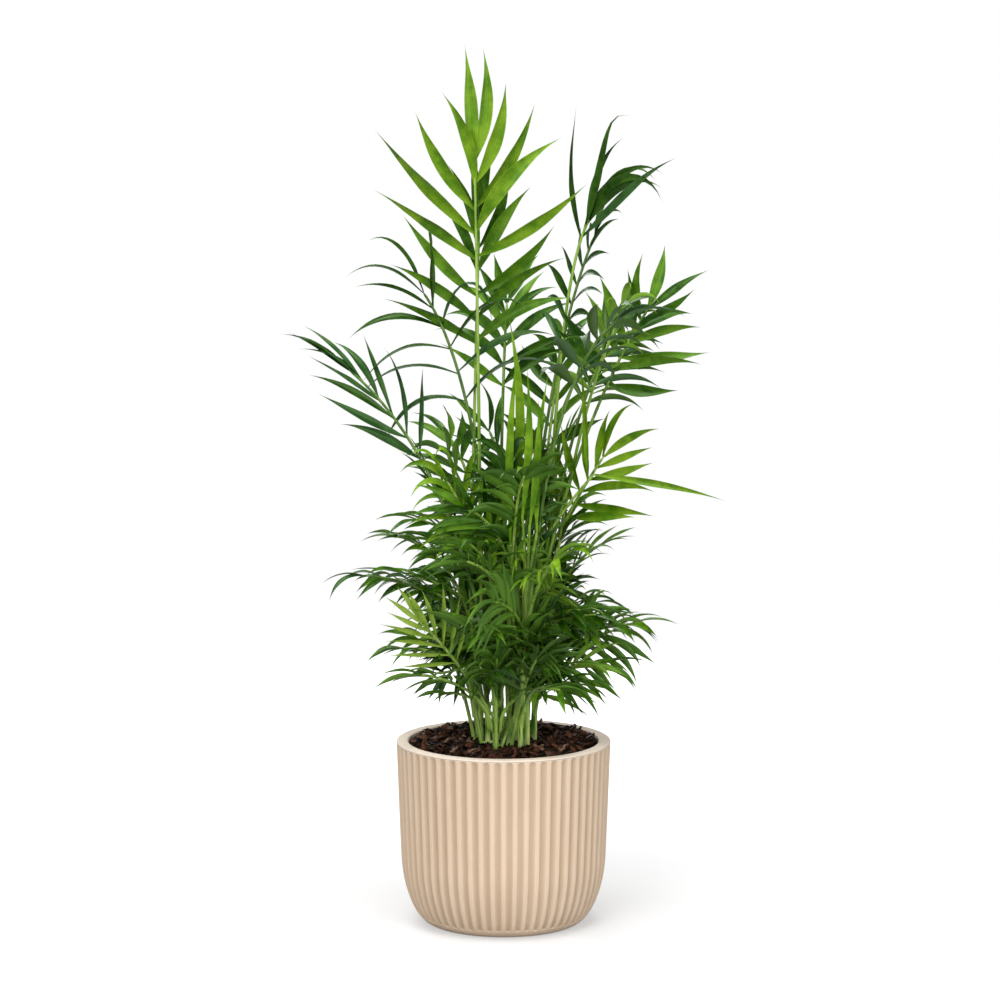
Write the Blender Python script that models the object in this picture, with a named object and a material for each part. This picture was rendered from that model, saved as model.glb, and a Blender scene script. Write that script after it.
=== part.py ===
"""Parlour palm in a fluted ceramic pot.

A clump of young stems stands in potting mix and carries about forty pinnate
fronds. Sizes below are in millimetres and angles in degrees; the pot's flat
underside is at z = 0 and its axis is the Z axis. The photographed side is -Y.
"""

import math
import random
from dataclasses import dataclass

import bmesh
import bpy
import numpy as np
from mathutils import Matrix, Vector
from mathutils.bvhtree import BVHTree

MM = 0.001
CLEARANCE = 0.3
UP = Vector((0.0, 0.0, 1.0))
GOLDEN_ANGLE = 137.508
CAMERA_SIDE = 270.0

# Pot
POT_HEIGHT = 129.0
RIM_RADIUS = 75.0
WAIST_RADIUS = 69.2
FOOT_RADIUS = 51.0
BOWL_HEIGHT = 46.0
BOWL_ROUNDNESS = 1.9
WALL_FLARE = 0.8
WALL = 8.4
FLOOR = 9.0
LIP_ROUNDING = 1.2
FLUTES = 58
FLUTE_DEPTH = 1.0
FLUTE_FOOT = 5.0
FLUTE_TOP = 126.2
FLUTE_END = 2.0
POT_ROWS = (10.0, 18.0, 30.0)
INNER_ROWS = (14.0, 28.0)
INNER_SIDES = FLUTES // 2

# Potting mix
SOIL_TOP = 124.0
SOIL_EDGE_DROP = 1.0
SOIL_FLAT_RADIUS = 36.0

# Stems
CANES = 12
CANE_SIDES = 6
CANE_RINGS = 4
CANE_RANK_STEP = 5
CLUMP_RADIUS = 23.0
CLUMP_CENTRE = (3.0, 4.0)
CANE_FOOT_RADIUS = 2.8
CANE_TIP_RADIUS = 1.9
CANE_SHORTEST = 58.0
CANE_LONGEST = 104.0
CANE_LEAN = 0.16

# Ribs
RIB_SIDES = 3
RIB_FOOT_RADIUS = 1.6
RIB_TIP_RADIUS = 1.05
RIB_SAMPLES = 40
RIB_SPAN = 70.0
RIB_LEAST_RINGS = 3
BEND_ASIDE = 0.5
BEND_ASIDE_LOST = 0.4
BEND_UP = 0.5
BEND_UP_GAINED = 0.45

# Where a rib leaves its stem, as a share of the stem's height
TIP_FOOT = 1.0
FOOT_SHARES = (TIP_FOOT, 0.85, 0.7, 0.55, 0.42, 0.32)
LOWEST_FOOT = 0.3
FOOT_SLACK = 0.05
FOOT_STEP = 0.03
HIGH_FROND = 0.9
FOOT_RISE = 210.0
FOOT_TURN = 0.06
SEAT_STEPS = 12
SEAT_LEVELS = (0.0, 0.04, 0.08, 0.12, 0.2, 0.3)

# The search for a free path: tries at each stem, sideways steps and what a stem costs
TRIES_A_CANE = 14
RIB_NUDGE = 2.4
FREE_SAMPLES = 5
LEAST_SAMPLES = 4
SAMPLE_SPACING = 1.5
APART_COST = 0.5
HELD_COST = 16.0
HIGH_COST = 2.0
HEADROOM = 30.0

# Leaflets: how long each is along its rib, and how each is set
LEAF_STEPS = 12
FACE_TILT = 0.4
SWELL_LEAST = 0.78
SWELL_STRETCH = 1.1
SWELL_START = 0.25
LENGTH_RANGE = (0.9, 1.08)
ANGLE_JITTER = 3.0
DROOP_RANGE = (0.75, 1.25)
DROOP_POWER = 1.5
LIFT = 10.0
LIFT_JITTER = 6.0
SHINGLE = 16.0
SHINGLE_JITTER = 5.0
PLACE_IN_PAIR = 0.5
STAGGER = 0.25
ROOT_ASIDE = 0.3
ROOT_BELOW = 0.1

# Leaflets: the solid
WIDEST_POWER = 0.72
SHAPE_POWER = 0.8
LEAF_ROOT_HALF_WIDTH = 0.6
LEAF_ROOT_THICKNESS = 0.9
LEAF_THINNEST = 0.8
LEAF_SLENDERNESS = 92.0
LEAF_STATIONS = (0.42,)
LONG_LEAF = 58.0
LONG_LEAF_STATIONS = (0.3, 0.66)
TEST_MARGIN = 0.35
SEED = 41

# Colours, linear, and how rough each surface is
POT_BEIGE = (0.70, 0.56, 0.42)
POT_ROUGHNESS = 0.75
SOIL_BROWN = (0.045, 0.024, 0.014)
SOIL_ROUGHNESS = 0.95
CANE_GREEN = (0.26, 0.42, 0.09)
CANE_ROUGHNESS = 0.5
FROND_GREEN = (0.06, 0.19, 0.02)
YOUNG_GREEN = (0.20, 0.40, 0.05)
DEEP_GREEN = (0.025, 0.09, 0.022)
FROND_ROUGHNESS = 0.45
SMOOTH_ANGLE = 40.0


@dataclass(frozen=True)
class Frond:
    """One frond, by where its rib ends and how its blade is set.

    The rib's tip stands at azimuth, reach and height. Its arch runs from 0 for
    a straight rib to 1 for one that bends over. The leaflets start past the
    bare share of the rib, in so many pairs beside the one at the tip. Each has
    a length, a width, an angle of spread and a droop. The blade's upper side
    turns to the azimuth look, or inwards where that is negative, and as far
    upwards as level says. The spread narrows towards the tip, sooner where
    gather is low, to the fork between the last two leaflets.
    """

    name: str
    azimuth: float
    reach: float
    height: float
    arch: float
    bare: float
    pairs: int
    leaf: float
    width: float
    spread: float
    droop: float
    look: float = -1.0
    level: float = 0.3
    gather: float = 1.8
    fork: float = 1.75


# The fronds that stand out of the clump, each with a place of its own
TALL_FRONDS = (
    Frond("frond_top", 190, 20, 534, 0.10, 0.76, 4, 98, 14, 56, 0.04, CAMERA_SIDE, 0.0, 0.9, 0.6),
    Frond("frond_top_behind", 140, 22, 488, 0.10, 0.68, 5, 80, 11, 60, 0.25, 262, 0.1, 1.1, 0.8),
    Frond("frond_high_right", 4, 60, 494, 0.80, 0.85, 3, 92, 9, 18, 1.00, 252, 0.3, 1.0, 0.9),
    Frond("frond_high_left", 168, 57, 442, 0.60, 0.50, 5, 84, 8, 62, 1.50, 262, 0.85),
    Frond("frond_far_left", 184, 107, 390, 0.50, 0.56, 5, 72, 8, 32, 0.45, 312, 0.35, 1.2, 0.6),
    Frond("frond_broad_right", 6, 101, 431, 0.30, 0.66, 6, 60, 10.5, 60, 0.30, CAMERA_SIDE, 0.1, 1.4),
    Frond("frond_grey_right", 28, 72, 480, 0.45, 0.60, 6, 46, 7, 50, 1.05, -1, 0.5),
    Frond("frond_dark_right", 326, 92, 428, 0.70, 0.60, 5, 62, 11, 54, 1.10, -1, 0.5),
    Frond("frond_light_right", 352, 70, 330, 0.15, 0.54, 5, 60, 9, 46, 0.55, CAMERA_SIDE, 0.1),
    Frond("frond_long_right", 348, 64, 318, 0.20, 0.88, 0, 98, 10, 42, 0.80, CAMERA_SIDE, 0.2),
    Frond("frond_back", 88, 70, 430, 0.55, 0.60, 5, 58, 10, 50, 0.60, -1, 0.3),
    Frond("frond_back_right", 62, 86, 392, 0.50, 0.56, 5, 56, 10, 50, 0.60, -1, 0.4),
    Frond("frond_back_left", 116, 86, 332, 0.60, 0.52, 5, 54, 10, 50, 0.60, -1, 0.4),
    Frond("frond_front", 286, 52, 322, 0.80, 0.50, 5, 50, 10, 52, 0.90, -1, 0.4),
)

# The youngest fronds are yellow green and the oldest deep green
YOUNG_FRONDS = ("frond_top", "frond_light_right", "frond_long_right", "frond_pale_fan")
DEEP_FRONDS = (
    "frond_high_right",
    "frond_high_left",
    "frond_far_left",
    "frond_grey_right",
    "frond_dark_right",
    "frond_low_far_left",
    "frond_low_far_right",
)

# The lower fronds that show at the clump's sides
LOW_FRONDS = (
    Frond("frond_pale_fan", 223, 76, 220, 0.10, 0.50, 5, 54, 8, 46, 0.15, 262, 0.0, 1.1, 0.9),
    Frond("frond_low_far_left", 184, 96, 246, 0.95, 0.42, 5, 46, 8, 52, 1.20, -1, 0.5),
    Frond("frond_low_left", 199, 74, 198, 0.90, 0.40, 5, 40, 8, 54, 1.10, -1, 0.6),
    Frond("frond_lowest_left", 208, 44, 166, 0.85, 0.45, 3, 30, 7, 50, 0.90, -1, 0.5),
    Frond("frond_mid_left", 170, 72, 270, 0.80, 0.46, 5, 42, 8, 52, 0.80, -1, 0.5),
    Frond("frond_upper_left", 193, 60, 286, 0.85, 0.50, 5, 44, 8, 50, 1.10, -1, 0.5),
    Frond("frond_low_far_right", 352, 80, 212, 0.95, 0.44, 5, 44, 8, 50, 1.25, -1, 0.5),
    Frond("frond_lowest_right", 330, 56, 174, 0.95, 0.38, 5, 40, 8, 52, 1.00, -1, 0.5),
    Frond("frond_mid_right", 9, 64, 262, 0.70, 0.46, 5, 46, 8, 50, 0.60, -1, 0.4),
    Frond("frond_low_right", 322, 68, 228, 0.80, 0.46, 5, 44, 8, 50, 0.90, -1, 0.5),
    Frond("frond_low_front", 262, 60, 214, 0.90, 0.44, 5, 42, 9, 50, 1.00, -1, 0.5),
    Frond("frond_mid_front", 240, 52, 262, 0.80, 0.46, 5, 42, 9, 50, 0.90, -1, 0.5),
)


@dataclass(frozen=True)
class Tier:
    """A ring of like fronds that fills the clump all round."""

    name: str
    count: int
    first_azimuth: float
    reach: tuple[float, float]
    height: tuple[float, float]
    arch: tuple[float, float]
    pairs: int
    leaf: tuple[float, float]
    width: float
    droop: tuple[float, float]
    rank_step: int = 3


TIERS = (
    Tier("skirt", 7, 26.0, (44, 76), (176, 216), (0.60, 1.00), 4, (38, 48), 9.0, (0.70, 1.40)),
    Tier("middle", 7, 65.0, (50, 92), (216, 284), (0.40, 0.95), 4, (42, 54), 9.5, (0.50, 1.30)),
    Tier("upper", 6, 110.0, (30, 62), (276, 344), (0.30, 0.80), 4, (44, 56), 9.5, (0.45, 1.10), 5),
)
TIER_TURN_STEP = 2
TIER_BARE = 0.42
TIER_SPREAD = (42.0, 56.0)
TIER_LEVEL = 0.45
INWARDS = -1.0


def polar(radius, azimuth, height=0.0):
    angle = math.radians(azimuth)
    return Vector((radius * math.cos(angle), radius * math.sin(angle), height))


def mix(low, high, share):
    return low + (high - low) * share


# Growth: where every stem, rib and leaflet runs. Plain geometry, in millimetres.


@dataclass
class Limb:
    """A tapering limb as points along its axis, with a radius at each."""

    points: list
    radii: list

    def at(self, share):
        place = share * (len(self.points) - 1)
        index = min(int(place), len(self.points) - 2)
        return self.points[index].lerp(self.points[index + 1], place - index)

    def radius_at(self, share):
        return mix(self.radii[0], self.radii[-1], share)

    def direction_at(self, share):
        step = 1.0 / (len(self.points) - 1)
        ahead = self.at(min(share + step, 1.0))
        behind = self.at(max(share - step, 0.0))
        return (ahead - behind).normalized()


def cane_limb(index):
    """A stem of the clump: they stand on a sunflower pattern and lean outwards."""
    share = (index + 0.5) / CANES
    radius = CLUMP_RADIUS * math.sqrt(share)
    azimuth = index * GOLDEN_ANGLE
    foot = polar(radius, azimuth, SOIL_TOP + CLEARANCE)
    foot += Vector((*CLUMP_CENTRE, 0.0))
    rank = index * CANE_RANK_STEP % CANES
    tall = mix(CANE_LONGEST, CANE_SHORTEST, rank / (CANES - 1))
    lean = polar(CANE_LEAN * tall * share, azimuth)
    rises = [ring / CANE_RINGS for ring in range(CANE_RINGS + 1)]
    points = [foot + UP * tall * rise + lean * rise * rise for rise in rises]
    radii = [mix(CANE_FOOT_RADIUS, CANE_TIP_RADIUS, rise) for rise in rises]
    return Limb(points, radii)


def tier_fronds():
    """The fronds of the rings, turned by the golden angle from one to the next."""
    fronds = []
    for tier in TIERS:
        for index in range(tier.count):
            share = index * tier.rank_step % tier.count / (tier.count - 1)
            other = index * TIER_TURN_STEP % tier.count / (tier.count - 1)
            fronds.append(
                Frond(
                    name=f"frond_{tier.name}_{index + 1}",
                    azimuth=(tier.first_azimuth + index * GOLDEN_ANGLE) % 360.0,
                    reach=mix(*tier.reach, share),
                    height=mix(*tier.height, 1.0 - share),
                    arch=mix(*tier.arch, other),
                    bare=TIER_BARE,
                    pairs=tier.pairs,
                    leaf=mix(*tier.leaf, 1.0 - other),
                    width=tier.width,
                    spread=mix(*TIER_SPREAD, share),
                    droop=mix(*tier.droop, other),
                    look=INWARDS,
                    level=TIER_LEVEL,
                )
            )
    return fronds


def all_fronds():
    return [*TALL_FRONDS, *LOW_FRONDS, *tier_fronds()]


def rib_limb(frond, cane, foot_share, nudge):
    """The frond's stem and rib: one arching curve from its cane to its tip."""
    tip = polar(frond.reach, frond.azimuth, frond.height)
    carrier = cane.at(foot_share)
    outward = Vector((tip.x - carrier.x, tip.y - carrier.y, 0.0)).normalized()
    across = Vector((-outward.y, outward.x, 0.0))
    sideways = BEND_ASIDE - BEND_ASIDE_LOST * min(frond.arch, 1.0)
    upward = BEND_UP + BEND_UP_GAINED * frond.arch
    bend = carrier.lerp(tip, sideways)
    bend.z = mix(carrier.z, tip.z, upward)
    bend += across * nudge
    if foot_share >= TIP_FOOT:
        grain = cane.direction_at(1.0)
        slant = grain.cross((bend - carrier).normalized()).length
        foot = carrier + grain * (CLEARANCE + RIB_FOOT_RADIUS * slant)
    else:
        away = (outward + across * nudge * FOOT_TURN).normalized()
        gap = cane.radius_at(foot_share) + RIB_FOOT_RADIUS + CLEARANCE
        foot = carrier + away * gap
    points = []
    for step in range(RIB_SAMPLES + 1):
        share = step / RIB_SAMPLES
        points.append(foot.lerp(bend, share).lerp(bend.lerp(tip, share), share))
    ends = (RIB_FOOT_RADIUS, RIB_TIP_RADIUS)
    radii = [mix(*ends, step / RIB_SAMPLES) for step in range(RIB_SAMPLES + 1)]
    return Limb(points, radii)


def path_length(points):
    return sum((after - before).length for before, after in zip(points, points[1:]))


def samples_of(limb):
    """Points along a limb's axis with a radius at each, to test distances by."""
    count = max(int(path_length(limb.points) / SAMPLE_SPACING), LEAST_SAMPLES)
    shares = [step / count for step in range(count + 1)]
    points = np.array([limb.at(share)[:] for share in shares])
    return points, np.array([limb.radius_at(share) for share in shares])


def is_clear(samples, placed, carrier_index, on_tip):
    """Whether a rib keeps its distance from every limb, also from its own cane."""
    points, radii = samples
    for index, (others, other_radii) in enumerate(placed):
        needed, first = 2.0 * CLEARANCE, 0
        if index == carrier_index:
            needed, first = (CLEARANCE, FREE_SAMPLES) if on_tip else (0.5 * CLEARANCE, 0)
        apart = np.linalg.norm(points[first:, None, :] - others[None, :, :], axis=2)
        gaps = apart - radii[first:, None] - other_radii[None, :]
        if gaps.min() < needed:
            return False
    return True


def foot_share_of(frond, held, turn):
    """How high up its cane a frond's rib leaves it, by how many that cane holds."""
    low = min(TIP_FOOT, max(LOWEST_FOOT, (frond.height - SOIL_TOP) / FOOT_RISE))
    if held == 0 and low >= HIGH_FROND:
        return TIP_FOOT
    share = FOOT_SHARES[min(held, len(FOOT_SHARES) - 1)]
    if low < HIGH_FROND:
        share = min(share, low)
    return max(share - FOOT_STEP * (turn // 2), LOWEST_FOOT - FOOT_SLACK)


def grow_limbs():
    """Every cane, and every rib that finds room with its frond and its cane's index."""
    canes = [cane_limb(index) for index in range(CANES)]
    placed = [samples_of(cane) for cane in canes]
    held = [0] * CANES
    grown = []
    for frond in all_fronds():
        tip = polar(frond.reach, frond.azimuth)

        def cost(index):
            top = canes[index].points[-1]
            apart = (Vector((top.x, top.y, 0.0)) - tip).length
            high = max(0.0, top.z - frond.height + HEADROOM)
            return apart * APART_COST + held[index] * HELD_COST + high * HIGH_COST

        ranked = sorted(range(CANES), key=cost)
        for attempt in range(CANES * TRIES_A_CANE):
            index, turn = ranked[attempt // TRIES_A_CANE], attempt % TRIES_A_CANE
            share = foot_share_of(frond, held[index], turn)
            way = 1 if turn % 2 else -1
            nudge = way * ((turn + 1) // 2) * RIB_NUDGE
            rib = rib_limb(frond, canes[index], share, nudge)
            samples = samples_of(rib)
            if is_clear(samples, placed, index, share >= TIP_FOOT):
                placed.append(samples)
                held[index] += 1
                grown.append((frond, rib, index))
                break
        else:
            print(f"{frond.name} found no room")
    return canes, grown


def leaf_shape(share):
    """A leaflet's half-width along its length, as a share of the widest."""
    swell = math.sin(math.pi * share**WIDEST_POWER)
    return max(0.0, swell) ** SHAPE_POWER


def face_frame(frond, rib, share):
    """The rib's direction, the blade's upper side and its sideways direction."""
    along = rib.direction_at(share)
    look = frond.look if frond.look >= 0 else frond.azimuth + 180.0
    face = polar(1.0, look, FACE_TILT)
    upper = (face - along * face.dot(along)).normalized()
    return along, upper, along.cross(upper)


def leaflet_setting(frond, dice, index, side):
    """Draws one leaflet's own length, angle, droop, lift and roll."""
    share = index / max(frond.pairs, 1)
    place = min(1.0, share * SWELL_STRETCH + SWELL_START)
    swell = mix(SWELL_LEAST, 1.0, math.sin(math.pi * place))
    length = frond.leaf * swell * dice.uniform(*LENGTH_RANGE)
    last = math.degrees(math.atan(frond.fork * frond.width / frond.leaf))
    angle = mix(frond.spread, last, share**frond.gather)
    angle += dice.uniform(-ANGLE_JITTER, ANGLE_JITTER)
    droop = frond.droop * dice.uniform(*DROOP_RANGE)
    lift = LIFT + dice.uniform(-LIFT_JITTER, LIFT_JITTER)
    roll = side * (SHINGLE + dice.uniform(-SHINGLE_JITTER, SHINGLE_JITTER))
    return length, angle, droop, lift, roll


def leaflet_path(frond, rib, index, side, setting):
    """Points along a leaflet, with its upper side's direction at each."""
    length, angle, droop, lift, roll = setting
    place = index + PLACE_IN_PAIR + STAGGER * side / max(frond.pairs, 1)
    share = mix(frond.bare, 1.0, min(1.0, place / (frond.pairs + PLACE_IN_PAIR)))
    along, upper, across = face_frame(frond, rib, share)
    raised, opened = math.radians(lift), math.radians(angle)
    out = across * side * math.cos(raised) + upper * math.sin(raised)
    start = along * math.cos(opened) + out * math.sin(opened)
    normal = upper.lerp(UP, frond.level)
    normal = Matrix.Rotation(math.radians(roll), 3, start) @ normal
    root = across * side * ROOT_ASIDE - upper * ROOT_BELOW
    points = [rib.at(share) + root * rib.radius_at(share)]
    normals = []
    for step in range(LEAF_STEPS):
        part = (step + 0.5) / LEAF_STEPS
        heading = (start - UP * droop * part**DROOP_POWER).normalized()
        points.append(points[-1] + heading * length / LEAF_STEPS)
        normals.append((normal - heading * normal.dot(heading)).normalized())
    normals.append(normals[-1])
    return points, normals


# Solids: closed faceted bodies from those lines.


def ring_faces(first, second, count):
    """Triangles of the wall between two rings of points."""
    faces = []
    for index in range(count):
        after = (index + 1) % count
        faces.append((first + index, first + after, second + after))
        faces.append((first + index, second + after, second + index))
    return faces


def tube_solid(limb, sides, rings, facing):
    """A closed tube with flat ends, one of its corners turned to facing."""
    points, faces = [], []
    corner = facing
    for ring in range(rings + 1):
        share = ring / rings
        along = limb.direction_at(share)
        corner = (corner - along * corner.dot(along)).normalized()
        beside = along.cross(corner)
        centre = limb.at(share)
        radius = limb.radius_at(share)
        for side in range(sides):
            turn = 2.0 * math.pi * side / sides
            offset = corner * math.cos(turn) + beside * math.sin(turn)
            points.append(centre + offset * radius)
    for ring in range(rings):
        faces += ring_faces(ring * sides, (ring + 1) * sides, sides)
    last = rings * sides
    for side in range(1, sides - 1):
        faces.append((0, side + 1, side))
        faces.append((last, last + side, last + side + 1))
    return points, faces


def leaf_solid(path, normals, half_width, thick, margin=0.0):
    """A keeled blade: three-cornered sections from its sunk root to its point."""
    stations = LEAF_STATIONS
    if path_length(path) > LONG_LEAF:
        stations = LONG_LEAF_STATIONS
    half_width += margin
    points, faces = [], []
    for station in (0.0, *stations):
        place = station * (len(path) - 1)
        index = min(int(place), len(path) - 2)
        centre = path[index].lerp(path[index + 1], place - index)
        heading = (path[index + 1] - path[index]).normalized()
        upper = normals[index]
        across = heading.cross(upper)
        half = half_width * leaf_shape(station)
        half = max(half, LEAF_ROOT_HALF_WIDTH + margin)
        deep = thick * (LEAF_ROOT_THICKNESS if station == 0.0 else 1.0)
        points.append(centre - across * half + upper * margin)
        points.append(centre + across * half + upper * margin)
        points.append(centre - upper * (deep + margin))
    points.append(path[-1])
    faces.append((0, 2, 1))
    for ring in range(len(stations)):
        faces += ring_faces(ring * 3, (ring + 1) * 3, 3)
    last = len(stations) * 3
    tip = len(points) - 1
    for side in range(3):
        faces.append((last + side, last + (side + 1) % 3, tip))
    return points, faces


def material(name, colour, roughness):
    made = bpy.data.materials.new(name)
    made.use_nodes = True
    shader = made.node_tree.nodes["Principled BSDF"]
    shader.inputs["Base Color"].default_value = (*colour, 1.0)
    shader.inputs["Roughness"].default_value = roughness
    shader.inputs["Metallic"].default_value = 0.0
    made.diffuse_color = (*colour, 1.0)
    return made


def mesh_object(name, points, faces, look, collection=None):
    """An object in metres from points in millimetres."""
    mesh = bpy.data.meshes.new(name)
    mesh.from_pydata([tuple(Vector(point) * MM) for point in points], [], faces)
    mesh.materials.append(look)
    mesh.shade_smooth()
    mesh.set_sharp_from_angle(angle=math.radians(SMOOTH_ANGLE))
    made = bpy.data.objects.new(name, mesh)
    (collection or bpy.context.scene.collection).objects.link(made)
    return made


def tree_of(points, faces):
    return BVHTree.FromPolygons([tuple(point) for point in points], faces)


def box_of(points):
    array = np.array([tuple(point) for point in points])
    return array.min(axis=0), array.max(axis=0)


@dataclass
class Body:
    """A placed solid, kept to test others against."""

    tree: BVHTree
    low: np.ndarray
    high: np.ndarray
    owner: str


def body_of(points, faces, owner):
    low, high = box_of(points)
    return Body(tree_of(points, faces), low, high, owner)


def touches(points, faces, bodies, owner):
    low, high = box_of(points)
    tree = tree_of(points, faces)
    for body in bodies:
        if body.owner == owner or (body.low > high).any() or (body.high < low).any():
            continue
        if tree.overlap(body.tree):
            return True
    return False


def seat_foot(points, carrier):
    """Slides a rib's first ring up to its carrier, to stand CLEARANCE off it."""
    foot, above = points[:RIB_SIDES], points[RIB_SIDES : 2 * RIB_SIDES]
    ways = []
    for level in SEAT_LEVELS:
        ring = [low.lerp(high, level) for low, high in zip(foot, above)]
        for side in range(RIB_SIDES):
            for step in range(SEAT_STEPS):
                point = ring[side].lerp(ring[(side + 1) % RIB_SIDES], step / SEAT_STEPS)
                ways.append(carrier.find_nearest(point)[0] - point)
    nearest = min(ways, key=lambda way: way.length)
    slide = nearest * (1.0 - CLEARANCE / nearest.length)
    return [point + slide for point in foot] + points[RIB_SIDES:]


# Pot and potting mix


def wall_radius(height):
    """The pot's outer radius over the crests of its flutes."""
    share = max(height, 0.0) / POT_HEIGHT
    straight = mix(WAIST_RADIUS, RIM_RADIUS, share**WALL_FLARE)
    inset = max(0.0, 1.0 - height / BOWL_HEIGHT)
    bowl = 1.0 - (1.0 - inset**BOWL_ROUNDNESS) ** (1.0 / BOWL_ROUNDNESS)
    return straight - (WAIST_RADIUS - FOOT_RADIUS) * bowl


def ring_points(height, radius, sides):
    return [polar(radius, 360.0 * side / sides, height) for side in range(sides)]


def inner_radius(height):
    """The pot's inner radius, to the corners of its inner wall."""
    return wall_radius(height) - WALL


def pot_parts():
    """The pot's points and faces: fluted outside, rounded lip, plain inside."""
    columns = 2 * FLUTES
    rows = [(0.0, 0.0, 0.0), (FLUTE_FOOT, 0.0, 0.0)]
    rows += [(height, 0.0, 1.0) for height in POT_ROWS]
    rows += [(FLUTE_TOP - FLUTE_END, 0.0, 1.0), (FLUTE_TOP, 0.0, 0.0)]
    rows += [(POT_HEIGHT - LIP_ROUNDING, 0.0, 0.0), (POT_HEIGHT, LIP_ROUNDING, 0.0)]
    points, faces = [], []
    for height, inset, flute in rows:
        ring = ring_points(height, wall_radius(height) - inset, columns)
        for column in range(1, columns, 2):
            ring[column] -= polar(FLUTE_DEPTH * flute, 360.0 * column / columns)
        points += ring
    for row in range(len(rows) - 1):
        faces += ring_faces(row * columns, (row + 1) * columns, columns)
    outer = (len(rows) - 1) * columns
    inner = len(points)
    inside = [(POT_HEIGHT, LIP_ROUNDING), (POT_HEIGHT - LIP_ROUNDING, 0.0)]
    inside += [(height, 0.0) for height in (*reversed(INNER_ROWS), FLOOR)]
    for height, inset in inside:
        points += ring_points(height, inner_radius(height) + inset, INNER_SIDES)
    each = columns // INNER_SIDES
    for side in range(INNER_SIDES):
        near, far = inner + side, inner + (side + 1) % INNER_SIDES
        rim = [outer + (each * side + step) % columns for step in range(each + 1)]
        middle = each // 2
        faces += [(rim[step], rim[step + 1], near) for step in range(middle)]
        faces.append((rim[middle], far, near))
        faces += [(rim[step], rim[step + 1], far) for step in range(middle, each)]
    for row in range(len(inside) - 1):
        start = inner + row * INNER_SIDES
        faces += ring_faces(start, start + INNER_SIDES, INNER_SIDES)
    under, floor = len(points), len(points) + 1
    points += [Vector((0.0, 0.0, 0.0)), Vector((0.0, 0.0, FLOOR))]
    last = inner + (len(inside) - 1) * INNER_SIDES
    for column in range(columns):
        faces.append((under, (column + 1) % columns, column))
    for side in range(INNER_SIDES):
        faces.append((last + side, last + (side + 1) % INNER_SIDES, floor))
    return points, faces


def soil_parts():
    """The potting mix: it fills the pot and is flat where the stems stand."""
    edge = SOIL_TOP - SOIL_EDGE_DROP
    low = FLOOR + CLEARANCE
    rows = [(low, inner_radius(FLOOR) - CLEARANCE)]
    rows += [(height, inner_radius(height) - CLEARANCE) for height in INNER_ROWS]
    rows += [(edge, inner_radius(edge) - CLEARANCE), (SOIL_TOP, SOIL_FLAT_RADIUS)]
    points, faces = [], []
    for height, radius in rows:
        points += ring_points(height, radius, INNER_SIDES)
    for row in range(len(rows) - 1):
        faces += ring_faces(row * INNER_SIDES, (row + 1) * INNER_SIDES, INNER_SIDES)
    under, top = len(points), len(points) + 1
    points += [Vector((0.0, 0.0, low)), Vector((0.0, 0.0, SOIL_TOP))]
    last = (len(rows) - 1) * INNER_SIDES
    for side in range(INNER_SIDES):
        after = (side + 1) % INNER_SIDES
        faces.append((under, after, side))
        faces.append((last + side, last + after, top))
    return points, faces


# Fronds


# What a leaflet tries in turn to stay clear: more angle, more lift, a shorter blade
VARIATIONS = (
    (0.0, 0.0, 1.0),
    (0.0, 12.0, 1.0),
    (0.0, -12.0, 1.0),
    (9.0, 6.0, 1.0),
    (-9.0, 6.0, 1.0),
    (0.0, 22.0, 0.85),
    (0.0, 0.0, 0.7),
)


def frond_leaves(frond, rib, dice, bodies):
    """The frond's leaflets that touch nothing, as solids."""
    leaves, skipped = [], 0
    for index in range(frond.pairs + 1):
        for side in (-1, 1):
            setting = leaflet_setting(frond, dice, index, side)
            for turn, raised, short in VARIATIONS:
                length, angle, droop, lift, roll = setting
                tried = (length * short, angle + turn, droop, lift + raised, roll)
                path, normals = leaflet_path(frond, rib, index, side, tried)
                thick = max(LEAF_THINNEST, length / LEAF_SLENDERNESS)
                half = frond.width / 2.0
                wide = leaf_solid(path, normals, half, thick, TEST_MARGIN)
                if not touches(*wide, bodies, frond.name):
                    leaves.append(leaf_solid(path, normals, half, thick))
                    break
            else:
                skipped += 1
    return leaves, skipped


def largest_piece(mesh):
    """Leaves only the mesh's largest connected piece."""
    shape = bmesh.new()
    shape.from_mesh(mesh)
    left = set(shape.verts)
    pieces = []
    while left:
        piece, edge = set(), [next(iter(left))]
        while edge:
            vert = edge.pop()
            if vert in piece:
                continue
            piece.add(vert)
            edge += [link.other_vert(vert) for link in vert.link_edges]
        left -= piece
        pieces.append(piece)
    pieces.sort(key=len)
    dropped = [vert for piece in pieces[:-1] for vert in piece]
    bmesh.ops.delete(shape, geom=dropped, context="VERTS")
    shape.to_mesh(mesh)
    shape.free()
    return len(pieces) - 1


def join_frond(name, rib, leaves, look):
    """One body of the rib and its leaflets, by a union on a collection."""
    helpers = bpy.data.collections.new(f"{name}_leaves")
    bpy.context.scene.collection.children.link(helpers)
    for index, (points, faces) in enumerate(leaves):
        mesh_object(f"{name}_leaf_{index}", points, faces, look, helpers)
    made = mesh_object(name, *rib, look)
    union = made.modifiers.new("leaves", "BOOLEAN")
    union.operation = "UNION"
    union.operand_type = "COLLECTION"
    union.collection = helpers
    union.solver = "MANIFOLD"
    graph = bpy.context.evaluated_depsgraph_get()
    joined = bpy.data.meshes.new_from_object(made.evaluated_get(graph))
    made.modifiers.clear()
    old = made.data
    made.data = joined
    joined.name = name
    bpy.data.meshes.remove(old)
    for helper in list(helpers.objects):
        mesh = helper.data
        bpy.data.objects.remove(helper)
        bpy.data.meshes.remove(mesh)
    bpy.data.collections.remove(helpers)
    loose = largest_piece(joined)
    if loose:
        print(f"{name}: {loose} loose pieces dropped")
    return made


def clear_scene():
    for old in list(bpy.data.objects):
        bpy.data.objects.remove(old)


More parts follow.
